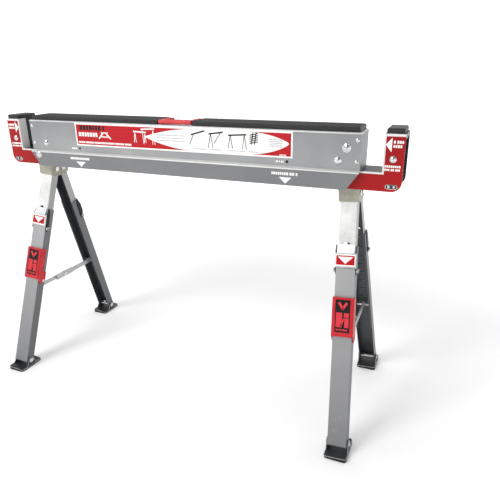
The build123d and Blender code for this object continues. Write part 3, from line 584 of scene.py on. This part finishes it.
class SawhorseLabel(bpy.types.PropertyGroup):
    """Sizes of the printed labels."""
    label_left: length("Label left", "Left edge of the beam label from the middle", -272)
    label_wide: length("Label width", "Length of the beam label", 549)
    label_rise: length("Label rise", "Lower edge of the beam label above the ledge", 17.8)
    label_high: length("Label height", "Height of the beam label", 53.5)
    border: length("Border", "White border of the beam label", 3.4)
    film: length("Film", "Thickness of one printed film", 0.12)
    skirt_mark_left: length("Left skirt mark", "Middle of the left triangle on the skirt", -260.5)
    skirt_mark_right: length("Right skirt mark", "Middle of the right triangle on the skirt", 264.5)
    mark_wide: length("Mark width", "Width of a triangle on the skirt", 27)
    mark_high: length("Mark height", "Height of a triangle on the skirt", 13)
    latch_label: length("Latch label", "Height of the red field on a latch", 19)
    lever_window: length("Lever window", "Height of the printed window on a lever", 67)
    seed: IntProperty(name="Seed", description="Seed of the printed block rows", default=7)


class SawhorseFittings(bpy.types.PropertyGroup):
    """Sizes of the small fittings."""
    washer_r: length("Washer radius", "Outer radius of the washers under the domed heads", 8.8)
    washer: length("Washer", "Thickness of those washers", 0.9)
    spring_r: length("Spring radius", "Mean radius of a latch spring's coil", 3.6)
    wire_r: length("Wire radius", "Radius of the spring wire", 0.55)
    coils: IntProperty(name="Coils", description="Turns of a latch spring", default=3)
    bead_r: length("Weld bead", "Mean radius of the weld beads", 1.2)
    rib_high: length("Pad rib height", "Height of the ribs along the pads", 0.8)
    rib_wide: length("Pad rib width", "Width of the ribs along the pads", 2.4)
    ribs: IntProperty(name="Pad ribs", description="Ribs along each pad", default=9)
    edge_r: length("Edge bead", "Radius of the worn edges of the feet", 0.7)
    tread: length("Tread", "Depth of the ribs round a foot's sole", 1.0)


class SawhorseStage(bpy.types.PropertyGroup):
    """Camera, lights and floor."""
    lens: FloatProperty(name="Lens", description="Focal length on a 36 mm sensor, in millimetres",
                        default=35.69)
    place: FloatVectorProperty(name="Camera", description="Camera position", size=3, unit="LENGTH",
                               default=(0.58597, -1.0017, 0.76695))
    turn: FloatVectorProperty(name="Camera turn", description="Yaw, pitch above straight down and roll",
                              size=3, unit="ROTATION",
                              default=(math.radians(22.82), math.radians(69.05), math.radians(-0.81)))
    key: FloatProperty(name="Key light", description="Power of the key light in watts", default=42,
                       unit="POWER")
    fill: FloatProperty(name="Fill light", description="Power of the fill light in watts", default=5,
                        unit="POWER")
    world: FloatProperty(name="World", description="Strength of the white surroundings", default=1.02)
    dark_world: FloatProperty(name="Dark side", description="Strength on the darker side", default=0.12)
    dark_side: FloatVectorProperty(name="Dark direction", description="Direction of the darker side", size=3,
                                   default=(0.5, -0.86, 0.1))
    glow: FloatProperty(name="Floor glow", description="Light given off by the floor near the feet",
                        default=0.1)
    floor: length("Floor", "Half width of the floor", 9000)


# ---- pieces --------------------------------------------------------------------------------------
def cached(name, make, *args):
    """A material made once."""
    return bpy.data.materials.get(name) or make(name, *args)


def printed(scene, kind):
    """The printed films, by what they show."""
    colours = scene.sawhorse_colours
    films = {"white": (colours.label_white, None, 0.0), "red": (colours.label_red, "#b31a23", 9.0),
             "grey": (colours.print_grey, None, 0.0), "black": (colours.print_black, "#222326", 0.0),
             "light": ("#e0404a", "#d63842", 0.0), "flat_red": (colours.label_red, "#b31a23", 0.0)}
    code, second, grid = films[kind]
    return cached("print_" + kind, vinyl_print, code, second, grid)


class SAWHORSE_OT_finish(bpy.types.Operator):
    """Gives every CAD node its finish"""
    bl_idname = "sawhorse.finish"
    bl_label = "Finish the steel, rubber and plastic"

    def execute(self, context):
        colours = context.scene.sawhorse_colours
        beam = beam_coat(colours)                                     # RAL 9006 polyester powder coat
        arms = arm_enamel(colours)                                    # RAL 3020 gloss enamel
        rubber = moulded_rubber("epdm_rubber", colours.rubber, colours.rubber_dust)       # EPDM, 70 Shore A
        nylon = moulded_plastic("pa6_red", colours.lever_light, colours.lever_dark)       # PA6-GF30, red
        grip = moulded_plastic("tpe_grip_red", "#d8444b", "#c9343c", 0.45)                # TPE over PP
        zinc = zinc_plate("zinc_plate_bright", colours.zinc_light, colours.zinc_dark)[0]  # Fe/Zn 5
        head = zinc_plate("zinc_plate_yellow", "#a5a394", "#817f72", 0.38, 0.4)[0]          # yellow passivate
        bolt = zinc_plate("steel_bright", "#dcdcdc", "#b4b4b6", 0.2, 0.95)[0]                # nickel-plated
        dark = powder_coat("foot_black_coat", "#2a2c2f", "#1b1c1e", 0.45, 0.1)[0]         # RAL 9005
        link = zinc_plate("brace_zinc", "#c2c3c4", "#a6a7a9", 0.4, 0.5)[0]                   # clear passivate
        by_start = {"beam_shell": beam, "end_plate_rivets": bolt, "end_plate": beam, "guide": bolt,
                    "top_pad": rubber, "arm_pads": rubber, "support_arm": arms, "arm_bolts": bolt,
                    "swing_pins": bolt, "swing_spacers": zinc, "handle": bolt, "carry_handle": grip,
                    "head": head, "hinge_pins": bolt, 
                    "leg_pins": bolt, "lock_lever": nylon, "brace_link": link,
                    "brace_pin": bolt, "brace_rivet": bolt, "foot_bracket": dark, "foot_sole": rubber}
        for leg in LEGS:
            by_start["upper_leg_" + leg] = upper_leg_zinc(leg, colours)                   # Fe/Zn 12
            by_start["lower_leg_" + leg] = lower_leg_coat(leg, colours)                   # RAL 9007
            by_start["height_latch_" + leg] = latch_zinc(leg, colours)                    # Fe/Zn 8
        starts = sorted(by_start, key=len, reverse=True)
        for node, obj in frame["nodes"].items():
            start = next((s for s in starts if node.startswith(s)), None)
            if start is None:
                raise RuntimeError("no finish for " + node)
            obj.data.materials.clear()
            obj.data.materials.append(by_start[start])
        return {"FINISHED"}


def front_wall(ledge):
    """Y of the body's front wall: the foremost point of the shell well above its ledge."""
    points = points_of("beam_shell")
    return points[points[:, 2] > ledge + 20, 1].min()


class SAWHORSE_OT_beam_label(bpy.types.Operator):
    """Prints the label along the beam's front: border, red field, pointed panel, signs and rows"""
    bl_idname = "sawhorse.beam_label"
    bl_label = "Beam label"

    def execute(self, context):
        scene, sizes = context.scene, context.scene.sawhorse_label
        rng = np.random.default_rng(sizes.seed)
        ledge = corners("end_plate_left")[0][2]
        wall = front_wall(ledge)
        place = wall_frame(wall, -1)
        place[:3, 3] = (sizes.label_left / MM, wall, ledge + sizes.label_rise / MM)
        wide, high, edge, film = (v / MM for v in (sizes.label_wide, sizes.label_high, sizes.border,
                                                   sizes.film))
        beam = dict(body="beam", slot="grey_enamel")
        piece("beam_label_border", [panel(place, 0, wide, 0, high, 0, film, 1.2)], printed(scene, "white"),
              **beam)
        piece("beam_label_field", [panel(place, edge, wide - edge, edge, high - edge, 0, 2 * film)],
              printed(scene, "red"), **beam)
        top, low_edge = high - edge - 0.2, edge + 0.2
        piece("beam_label_panel", [lens(place, 197, 541, 29, low_edge, top, 322, 452, 0, 3 * film)],
              printed(scene, "white"), **beam)
        w = 4 * film
        white = blocks(place, 10, 66, 22.5, 9.5, rng, 0, w) + blocks(place, 7, 160, 6.5, 4.4, rng, 0, w)
        white += blocks(place, 521, 535, 4.6, 2.4, rng, 0, w)
        sign = [(68.5, 19, 82, 32.5), (102.5, 19, 89, 32.5)]
        white += [bar(place, u0, v0, u1, v1, 3.4, 0, w) for u0, v0, u1, v1 in sign]
        white += [bar(place, 76, 32.5, 95, 32.5, 3.2, 0, w), bar(place, 76, 23.5, 95, 23.5, 2.2, 0, w)]
        white += sawhorse_sign(place, 167, 15, 34, 24, -2, [(0.12, 6), (0.12, -8), (0.9, 6), (0.9, -6)], 0, w)
        white += sawhorse_sign(place, 188, 12, 36, 34, 3, [(0.1, 4), (0.88, -4), (0.88, 7)], 0, w, 0.9)
        piece("beam_label_white_print", white, printed(scene, "white"), **beam)
        dark = blocks(place, 14, 86, 37.5, 10.5, rng, 0, w)
        dark += sawhorse_sign(place, 317, 17, 33, 26, 16, [(0.2, -28)], 0, w)
        dark += sawhorse_sign(place, 360, 12, 34, 32, 8, [(0.14, 10), (0.14, -14), (0.85, -38)], 0, w)
        dark += sawhorse_sign(place, 406, 13, 42, 29, 4, [(0.12, 11), (0.12, -13), (0.88, 10), (0.88, -9)],
                              0, w)
        for k in range(5):
            dark.append(bar(place, 455, 26 + 4.2 * k, 474, 30 + 4.2 * k, 2.0, 0, w))
        dark += [bar(place, 459, 24, 463, 49, 2.2, 0, w), bar(place, 466, 24, 470, 49, 2.2, 0, w)]
        piece("beam_label_black_print", dark, printed(scene, "black"), **beam)
        grey = []
        for v in (21.5, 27.5, 33.5):
            grey += blocks(place, 229, 301, v, 2.0, rng, 0, w)
        for v in (21, 24.6, 28.2, 31.8, 35.4):
            grey += blocks(place, 499, 528, v, 1.7, rng, 0, w)
        for u0, u1 in ((321, 352), (366, 392), (408, 446), (452, 476)):
            grey += blocks(place, u0, u1, 7.6, 2.0, rng, 0, w)
        piece("beam_label_grey_print", grey, printed(scene, "grey"), **beam)
        return {"FINISHED"}


class SAWHORSE_OT_skirt_marks(bpy.types.Operator):
    """Prints the triangles and rows on the skirt and beside the accessory holes"""
    bl_idname = "sawhorse.skirt_marks"
    bl_label = "Skirt marks"

    def execute(self, context):
        scene, sizes = context.scene, context.scene.sawhorse_label
        rng = np.random.default_rng(sizes.seed + 1)
        low = corners("beam_shell")[0]
        ledge = corners("end_plate_left")[0][2]
        skirt = wall_frame(low[1], -1)
        film = 2 * sizes.film / MM
        half, tall = sizes.mark_wide / MM / 2, sizes.mark_high / MM
        hole_row, v = 265.0, ledge - 20.2
        shells = []
        for middle in (sizes.skirt_mark_left / MM, sizes.skirt_mark_right / MM):
            shells.append(triangle(skirt, (middle - half, v), (middle + half, v), (middle, v - tall), 0,
                                   film))
            shells += blocks(skirt, middle - 30, middle + 29, v + 4.6, 5.6, rng, 0, film)
        body = wall_frame(front_wall(ledge), -1)
        for middle in (-hole_row, hole_row):
            shells += blocks(body, middle - 24, middle - 7, ledge + 8.2, 3.8, rng, 0, film)
        piece("skirt_marks", shells, printed(scene, "white"), "beam", "grey_enamel")
        return {"FINISHED"}


class SAWHORSE_OT_arm_marks(bpy.types.Operator):
    """Prints the triangle that points to the joist slot and the rows on both arms"""
    bl_idname = "sawhorse.arm_marks"
    bl_label = "Arm marks"

    def execute(self, context):
        scene, sizes = context.scene, context.scene.sawhorse_label
        rng = np.random.default_rng(sizes.seed + 2)
        film = 2 * sizes.film / MM
        for side, word in ((-1, "left"), (1, "right")):
            points = points_of("support_arm_" + word) * (side, 1, 1)
            top, end = points[:, 2].max(), points[:, 0].max()
            upright = points[points[:, 2] > top - 0.01, 0].min()
            shells = []
            for wall in (-1, 1):
                place = wall_frame(wall * points[:, 1].max(), wall)
                place[:3, 0] = (side, 0, 0)
                place[:3, 3] = (0, wall * points[:, 1].max(), 0)
                shells.append(triangle(place, (upright + 14.5, top - 7), (upright + 14.5, top - 34),
                                       (upright + 3.2, top - 20.5), 0, film))
                for v in (top - 17.5, top - 25.5):
                    shells += blocks(place, upright + 17.5, end - 3.2, v, 5.2, rng, 0, film)
                for v in (top - 63.5, top - 70.0):
                    shells += blocks(place, upright + 4.2, end - 4.5, v, 4.2, rng, 0, film)
            piece("arm_marks_" + word, shells, printed(scene, "white"), "beam", "red_enamel")
        return {"FINISHED"}


class SAWHORSE_OT_arm_slots(bpy.types.Operator):
    """Fits a raised rim, a dark plate behind and a bolt head to each oblong hole of the arms"""
    bl_idname = "sawhorse.arm_slots"
    bl_label = "Arm slots"

    def execute(self, context):
        steel, dark = bpy.data.materials["steel_bright"], bpy.data.materials["foot_black_coat"]
        for side, word in ((-1, "left"), (1, "right")):
            points = points_of("support_arm_" + word) * (side, 1, 1)
            low, high = points.min(axis=0), points.max(axis=0)
            upright = points[points[:, 2] > high[2] - 0.01, 0].min()
            middle, rise, run, radius = (upright + high[0]) / 2, low[2] + 10.0, 7.0, 3.5
            rims, plates, bolts = [], [], []
            for wall in (-1, 1):
                place = wall_frame(0, wall)
                place[:3, 0] = (side, 0, 0)
                place[:3, 3] = (0, wall * high[1], 0)
                turn = np.linspace(0, 2 * math.pi, 48, endpoint=False)
                run_x = np.where(np.cos(turn) > 0, run, -run)
                rings = []
                for reach, w in ((0.05, 0.0), (1.3, 0.0), (1.1, 0.5), (0.3, 0.7), (0.05, 0.4)):
                    ring = np.stack([middle + run_x + (radius + reach) * np.cos(turn),
                                     rise + (radius + reach) * np.sin(turn), np.full(len(turn), w)], 1)
                    rings.append(placed(ring, place))
                rims.append(loft(np.stack(rings, axis=1), closed=True))
                plates.append(panel(place, middle - 13.5, middle + 12.0, rise - 6.5, rise + 7.5, -2.6, 1.0))
                dome = [(0.01, -1.6), (2.9, -1.6), (2.9, -0.9), (2.2, -0.2), (1.2, 0.1), (0.01, 0.2)]
                for offset in (-5.0, 5.0):
                    bolts.append(turned(place, middle + offset, rise, dome, 20))
            piece("arm_slot_rims_" + word, rims, steel, "beam", "bright_steel")
            piece("arm_slot_plates_" + word, plates, dark, "beam", "black_enamel")
            piece("arm_slot_bolts_" + word, bolts, steel, "beam", "bright_steel", smooth=True)
        return {"FINISHED"}


class SAWHORSE_OT_leg_labels(bpy.types.Operator):
    """Prints the labels of the four height latches and of the two front lock levers"""
    bl_idname = "sawhorse.leg_labels"
    bl_label = "Latch and lever labels"

    def execute(self, context):
        scene, sizes = context.scene, context.scene.sawhorse_label
        rng = np.random.default_rng(sizes.seed + 3)
        film = sizes.film / MM
        for leg in LEGS:
            place = leg_frame(leg)
            high = box_in("height_latch_" + leg, place)[1]
            lower = box_in("lower_leg_" + leg, place)[1]
            label_drop, border, inset, arrow = 5.4, 1.4, 3.2, 6.0
            top, face, half = lower[1] - 14.0, high[2], high[0]
            tall = sizes.latch_label / MM
            latch = dict(body="latch_" + leg, slot="bright_steel")
            v0, v1 = top - label_drop - tall, top - label_drop
            piece("latch_label_ground_" + leg,
                  [panel(place, -half + border, half - border, v0 - 3, v1 + 3, face, film, 1.5)],
                  printed(scene, "white"), **latch)
            piece("latch_label_field_" + leg,
                  [panel(place, -half + inset, half - inset, v0, v1, face, 2 * film, 0.8)],
                  printed(scene, "flat_red"), **latch)
            piece("latch_label_arrow_" + leg,
                  [triangle(place, (-half + arrow, v1 - 2.4), (half - arrow, v1 - 2.4), (0, v0 + 2.0), face,
                            3 * film)],
                  printed(scene, "white"), **latch)
            if "lock_lever_" + leg not in frame["nodes"]:
                continue
            high = box_in("lock_lever_" + leg, place)[1]
            face, top = high[2], high[1] - 4.5
            lever = dict(body="lever_" + leg, slot="red_plastic")
            window, reach = sizes.lever_window / MM, 15.4
            piece("lever_label_ground_" + leg,
                  [panel(place, -reach, reach, top - window, top, face, film, 1.0)],
                  printed(scene, "black"), **lever)
            light = [bar(place, -8.4, top - 5.5, 0.9, top - 19.5, 5.0, face, 2 * film),
                     bar(place, 8.4, top - 5.5, -0.9, top - 19.5, 5.0, face, 2 * film),
                     panel(place, -13.2, -0.5, top - 56.5, top - 26.5, face, 2 * film),
                     panel(place, 4.5, 13.2, top - 56.5, top - 37, face, 2 * film),
                     panel(place, 3.0, 13.2, top - 35.4, top - 26.5, face, 2 * film),
                     bar(place, -4.0, top - 56.5, 3.4, top - 38.0, 3.0, face, 2 * film)]
            light += blocks(place, -12.5, 12.5, top - 63.5, 3.6, rng, face, 2 * film)
            piece("lever_label_print_" + leg, light, printed(scene, "light"), **lever)
        return {"FINISHED"}


class SAWHORSE_OT_washers(bpy.types.Operator):
    """Puts washers under the domed heads on both walls of the beam"""
    bl_idname = "sawhorse.washers"
    bl_label = "Washers"

    def execute(self, context):
        fittings = context.scene.sawhorse_fittings
        steel = bpy.data.materials["steel_bright"]
        outer, thick = fittings.washer_r / MM, fittings.washer / MM
        ring = [(5.2, 0), (outer, 0), (outer, thick * 0.7), (outer - 0.6, thick), (5.2, thick)]
        shells = []
        pins = points_of("swing_pins")
        for side, joint in ((-1, "swing_left"), (1, "swing_right")):
            x, _, z = np.array(JOINTS[joint]["pos_m"]) / MM
            own = pins[pins[:, 0] * side > 0]
            wall = np.abs(own[:, 1]).max() - 3.6
            for facing in (-1, 1):
                shells.append(turned(wall_frame(facing * wall, facing), x, z, ring))
        piece("swing_washers", shells, steel, "beam", "bright_steel")
        return {"FINISHED"}


class SAWHORSE_OT_springs(bpy.types.Operator):
    """Winds the two torsion springs of each height latch"""
    bl_idname = "sawhorse.springs"
    bl_label = "Latch springs"

    def execute(self, context):
        fittings = context.scene.sawhorse_fittings
        steel = bpy.data.materials["steel_bright"]
        radius, wire = fittings.spring_r / MM, fittings.wire_r / MM
        for leg in LEGS:
            place = leg_frame(leg)
            pin = np.array(JOINTS["latch_" + leg]["pos_m"]) / MM
            u0, v0, w0 = (pin - place[:3, 3]) @ place[:3, :3]
            reach = box_in("lower_leg_" + leg, place)[1][0] + 2.4
            shells = []
            for side in (-1, 1):
                turn = np.linspace(0, 2 * math.pi * fittings.coils, 20 * fittings.coils)
                along = side * (reach + wire * 2.1 * turn / (2 * math.pi))
                coil = np.stack([along, v0 + radius * np.cos(turn), w0 + radius * np.sin(turn)], 1)
                tail = np.linspace((along[-1], v0 + radius, w0), (along[-1], v0 + radius * 0.9, w0 - 6.5),
                                   8)[1:]
                shells.append(tube(placed(np.vstack([coil, tail]), place), wire, 8))
            piece("latch_springs_" + leg, shells, steel, "latch_" + leg, "bright_steel", smooth=True)
        return {"FINISHED"}


class SAWHORSE_OT_weld_beads(bpy.types.Operator):
    """Runs the weld beads where the arms meet the beam and where each cap meets its cheeks"""
    bl_idname = "sawhorse.weld_beads"
    bl_label = "Weld beads"

    def execute(self, context):
        radius = context.scene.sawhorse_fittings.bead_r / MM
        rng = np.random.default_rng(11)
        steel = bpy.data.materials["brace_zinc"]
        for side, word in ((-1, "left"), (1, "right")):
            points = points_of("support_arm_" + word) * (side, 1, 1)
            top = points[:, 2].max()
            upright = points[points[:, 2] > top - 0.01, 0].min()
            wide = points[:, 1].max() - 2.4
            ledge = corners("end_plate_left")[0][2]
            shells = []
            for facing in (-1, 1):
                t = np.linspace(0, 1, 60)
                ripple = 0.25 * np.sin(t * 2 * math.pi * 14) + rng.normal(0, 0.05, len(t))
                path = np.stack([side * (upright + 1.6 + 34 * t), facing * (wide + ripple * 0.3),
                                 np.full(len(t), top - 1.9)], 1)
                shells.append(tube(path, radius * 0.8, 8))
                z = ledge - 1.5 - 0 * t
                low = np.stack([side * (upright - 38 + 36 * t), facing * (wide + ripple * 0.3), z - 0.6], 1)
                shells.append(tube(low, radius * 0.8, 8))
            piece("weld_beads_" + word, shells, steel, "beam", "bright_steel", smooth=True)
        return {"FINISHED"}


class SAWHORSE_OT_pad_ribs(bpy.types.Operator):
    """Moulds the ribs along the rubber pads and the ribs across the handle's grip"""
    bl_idname = "sawhorse.pad_ribs"
    bl_label = "Pad and grip ribs"

    def execute(self, context):
        fittings = context.scene.sawhorse_fittings
        high, wide = fittings.rib_high / MM, fittings.rib_wide / MM
        rubber = bpy.data.materials["epdm_rubber"]
        section = np.linspace(0, math.pi, 7)
        for node in ("top_pad_left", "top_pad_right"):
            low, top = corners(node)
            shells = []
            for y in np.linspace(low[1] + 5.5, top[1] - 5.5, fittings.ribs):
                x = np.array([low[0] + 3, top[0] - 3])[:, None]
                rings = np.stack([np.broadcast_to(x, (2, 7)),
                                  np.broadcast_to(y + wide / 2 * np.cos(section), (2, 7)),
                                  np.broadcast_to(top[2] - 0.05 + high * np.sin(section), (2, 7))], -1)
                shells.append(loft(rings))
            piece(node + "_ribs", shells, rubber, "beam", "black_rubber")
        low, top = corners("carry_handle")
        shells = []
        for x in np.linspace(low[0] + 12, top[0] - 12, 13):
            y = np.array([low[1] + 4, low[1] + 15])[:, None]
            rings = np.stack([np.broadcast_to(x + 1.0 * np.cos(section), (2, 7)), np.broadcast_to(y, (2, 7)),
                              np.broadcast_to(top[2] - 0.05 + 0.5 * np.sin(section), (2, 7))], -1)
            shells.append(loft(rings))
        piece("carry_handle_ribs", shells, bpy.data.materials["tpe_grip_red"], "handle", "red_plastic")
        return {"FINISHED"}


class SAWHORSE_OT_foot_treads(bpy.types.Operator):
    """Moulds the ribs round the edge of each rubber sole"""
    bl_idname = "sawhorse.foot_treads"
    bl_label = "Foot treads"

    def execute(self, context):
        depth = context.scene.sawhorse_fittings.tread / MM
        rubber = bpy.data.materials["epdm_rubber"]
        for leg in LEGS:
            low, high = corners("foot_sole_" + leg)
            v0, v1 = low[2] + 0.6, high[2] - 0.6
            shells = []
            for facing, y in ((-1, low[1]), (1, high[1])):
                place = wall_frame(y, facing)
                for u in np.arange(low[0] + 8, high[0] - 9, 5.0):
                    shells.append(panel(place, u, u + 2.6, v0, v1, -0.3, depth + 0.3))
            piece("foot_treads_" + leg, shells, rubber, "foot_" + leg, "black_rubber")
        return {"FINISHED"}


class SAWHORSE_OT_foot_edges(bpy.types.Operator):
    """Rounds the bare, worn edges of each foot's ears and base plate as thin bright beads"""
    bl_idname = "sawhorse.foot_edges"
    bl_label = "Foot edges"

    def execute(self, context):
        radius = context.scene.sawhorse_fittings.edge_r / MM
        steel = bpy.data.materials["brace_zinc"]
        for leg in LEGS:
            place = foot_frame(leg)
            low, high = box_in("foot_bracket_" + leg, place)
            points = (points_of("foot_bracket_" + leg) - place[:3, 3]) @ place[:3, :3]
            top, ear_r = low[2] + 2.0, high[2]
            ear = np.abs(points[points[:, 2] > 0, 0]).max()
            arc = np.linspace(math.pi, 0, 15)
            shells = []
            for u in (-ear, ear):
                v = np.concatenate([[-2 * ear_r], ear_r * np.cos(arc), [2 * ear_r]])
                w = np.concatenate([[top], ear_r * np.sin(arc), [top]])
                shells.append(tube(placed(np.stack([np.full(len(v), u), v, w], 1), place), radius, 8))
            turn = np.linspace(0, 2 * math.pi, 64, endpoint=False)
            wide, deep, corner = high[0], high[1], 5.0
            ring = np.stack([np.clip(np.cos(turn) * 1e3, -1, 1) * (wide - corner) + corner * np.cos(turn),
                             np.clip(np.sin(turn) * 1e3, -1, 1) * (deep - corner) + corner * np.sin(turn),
                             np.full(len(turn), top)], 1)
            shells.append(tube(placed(ring, place), radius * 0.8, 8, closed=True))
            piece("foot_edges_" + leg, shells, steel, "foot_" + leg, "black_enamel", smooth=True)
        return {"FINISHED"}


class SAWHORSE_OT_stage(bpy.types.Operator):
    """Sets the floor, the camera, the lights and the white surroundings"""
    bl_idname = "sawhorse.stage"
    bl_label = "Stage"

    def execute(self, context):
        scene, values = context.scene, context.scene.sawhorse_stage
        half = values.floor
        mesh = bpy.data.meshes.new("floor")
        mesh.from_pydata([(-half, -half, 0), (half, -half, 0), (half, half, 0), (-half, half, 0)], [],
                         [(0, 1, 2, 3)])
        material, tree, shader, place = start_material("floor_white", 0.75)
        shader.inputs["Base Color"].default_value = linear("#f6f6f6")
        far = add_node(tree, "ShaderNodeVectorMath", {0: place}, operation="LENGTH").outputs[1]
        glow = add_node(tree, "ShaderNodeMapRange",
                        {0: far, 1: 0.7, 2: 2.6, 3: values.glow, 4: 0.75}).outputs[0]
        shader.inputs["Emission Color"].default_value = (1, 1, 1, 1)
        tree.links.new(glow, shader.inputs["Emission Strength"])
        mesh.materials.append(material)
        floor = bpy.data.objects.new("floor", mesh)
        scene.collection.objects.link(floor)
        camera = bpy.data.objects.new("camera", bpy.data.cameras.new("camera"))
        camera.data.sensor_width = 36
        camera.data.lens = values.lens
        camera.data.clip_start = 0.05
        camera.data.clip_end = 50
        yaw, pitch, roll = values.turn
        turn = Euler((0, 0, yaw)).to_matrix() @ Euler((pitch, 0, 0)).to_matrix() @ Euler((0, 0,
                                                                                          roll)).to_matrix()
        camera.matrix_world = turn.to_4x4()
        camera.location = values.place
        scene.collection.objects.link(camera)
        scene.camera = camera
        for name, spot, power, size in (("key", (-1.1, -1.9, 2.3), values.key, 1.1),
                                        ("fill", (2.2, -1.6, 1.3), values.fill, 1.6),
                                        ("top", (0.2, 0.5, 2.6), values.fill * 1.4, 1.8)):
            light = bpy.data.lights.new(name, "AREA")
            light.energy = power
            light.size = size
            lamp = bpy.data.objects.new(name, light)
            lamp.location = spot
            aim = lamp.location.copy()
            aim.z -= 0.45
            lamp.rotation_euler = aim.to_track_quat("Z", "Y").to_euler()
            scene.collection.objects.link(lamp)
        world = scene.world or bpy.data.worlds.new("world")
        scene.world = world
        world.use_nodes = True
        background = world.node_tree.nodes["Background"]
        sky = world.node_tree
        toward = add_node(sky, "ShaderNodeTexCoord").outputs["Generated"]
        facing = add_node(sky, "ShaderNodeVectorMath", {0: toward, 1: tuple(values.dark_side)},
                          operation="DOT_PRODUCT")
        ahead = add_node(sky, "ShaderNodeMapRange", {0: facing.outputs[1], 1: -0.15, 2: 0.7}).outputs[0]
        up = add_node(sky, "ShaderNodeSeparateXYZ", {0: toward}).outputs[2]
        above = add_node(sky, "ShaderNodeMapRange", {0: up, 1: 0.06, 2: 0.3}).outputs[0]
        shade = maths(sky, "MULTIPLY", ahead, above)
        level = add_node(sky, "ShaderNodeMapRange",
                         {0: shade, 3: values.world, 4: values.dark_world}).outputs[0]
        background.inputs[0].default_value = (1, 1, 1, 1)
        sky.links.new(level, background.inputs[1])
        scene.view_settings.view_transform = "Standard"
        scene.view_settings.look = "None"
        return {"FINISHED"}


class SAWHORSE_PT_panel(bpy.types.Panel):
    """Buttons for each piece"""
    bl_idname = "SAWHORSE_PT_panel"
    bl_label = "Folding sawhorse"
    bl_space_type = "VIEW_3D"
    bl_region_type = "UI"
    bl_category = "Sawhorse"

    def draw(self, context):
        for operator in OPERATORS:
            self.layout.operator(operator.bl_idname)


GROUPS = {"sawhorse_colours": SawhorseColours, "sawhorse_label": SawhorseLabel,
          "sawhorse_fittings": SawhorseFittings, "sawhorse_stage": SawhorseStage}
OPERATORS = (SAWHORSE_OT_finish, SAWHORSE_OT_beam_label, SAWHORSE_OT_skirt_marks, SAWHORSE_OT_arm_marks,
             SAWHORSE_OT_arm_slots, SAWHORSE_OT_leg_labels, SAWHORSE_OT_washers, SAWHORSE_OT_springs,
             SAWHORSE_OT_weld_beads, SAWHORSE_OT_pad_ribs, SAWHORSE_OT_foot_treads, SAWHORSE_OT_foot_edges,
             SAWHORSE_OT_stage)


def register():
    for name, group in GROUPS.items():
        bpy.utils.register_class(group)
        setattr(bpy.types.Scene, name, PointerProperty(type=group))
    for operator in OPERATORS:
        bpy.utils.register_class(operator)
    bpy.utils.register_class(SAWHORSE_PT_panel)


def unregister():
    bpy.utils.unregister_class(SAWHORSE_PT_panel)
    for operator in reversed(OPERATORS):
        bpy.utils.unregister_class(operator)
    for name, group in reversed(GROUPS.items()):
        delattr(bpy.types.Scene, name)
        bpy.utils.unregister_class(group)


def main():
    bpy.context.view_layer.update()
    register()
    for operator in OPERATORS:
        group, name = operator.bl_idname.split(".")
        getattr(getattr(bpy.ops, group), name)()


if __name__ == "__main__":
    main()
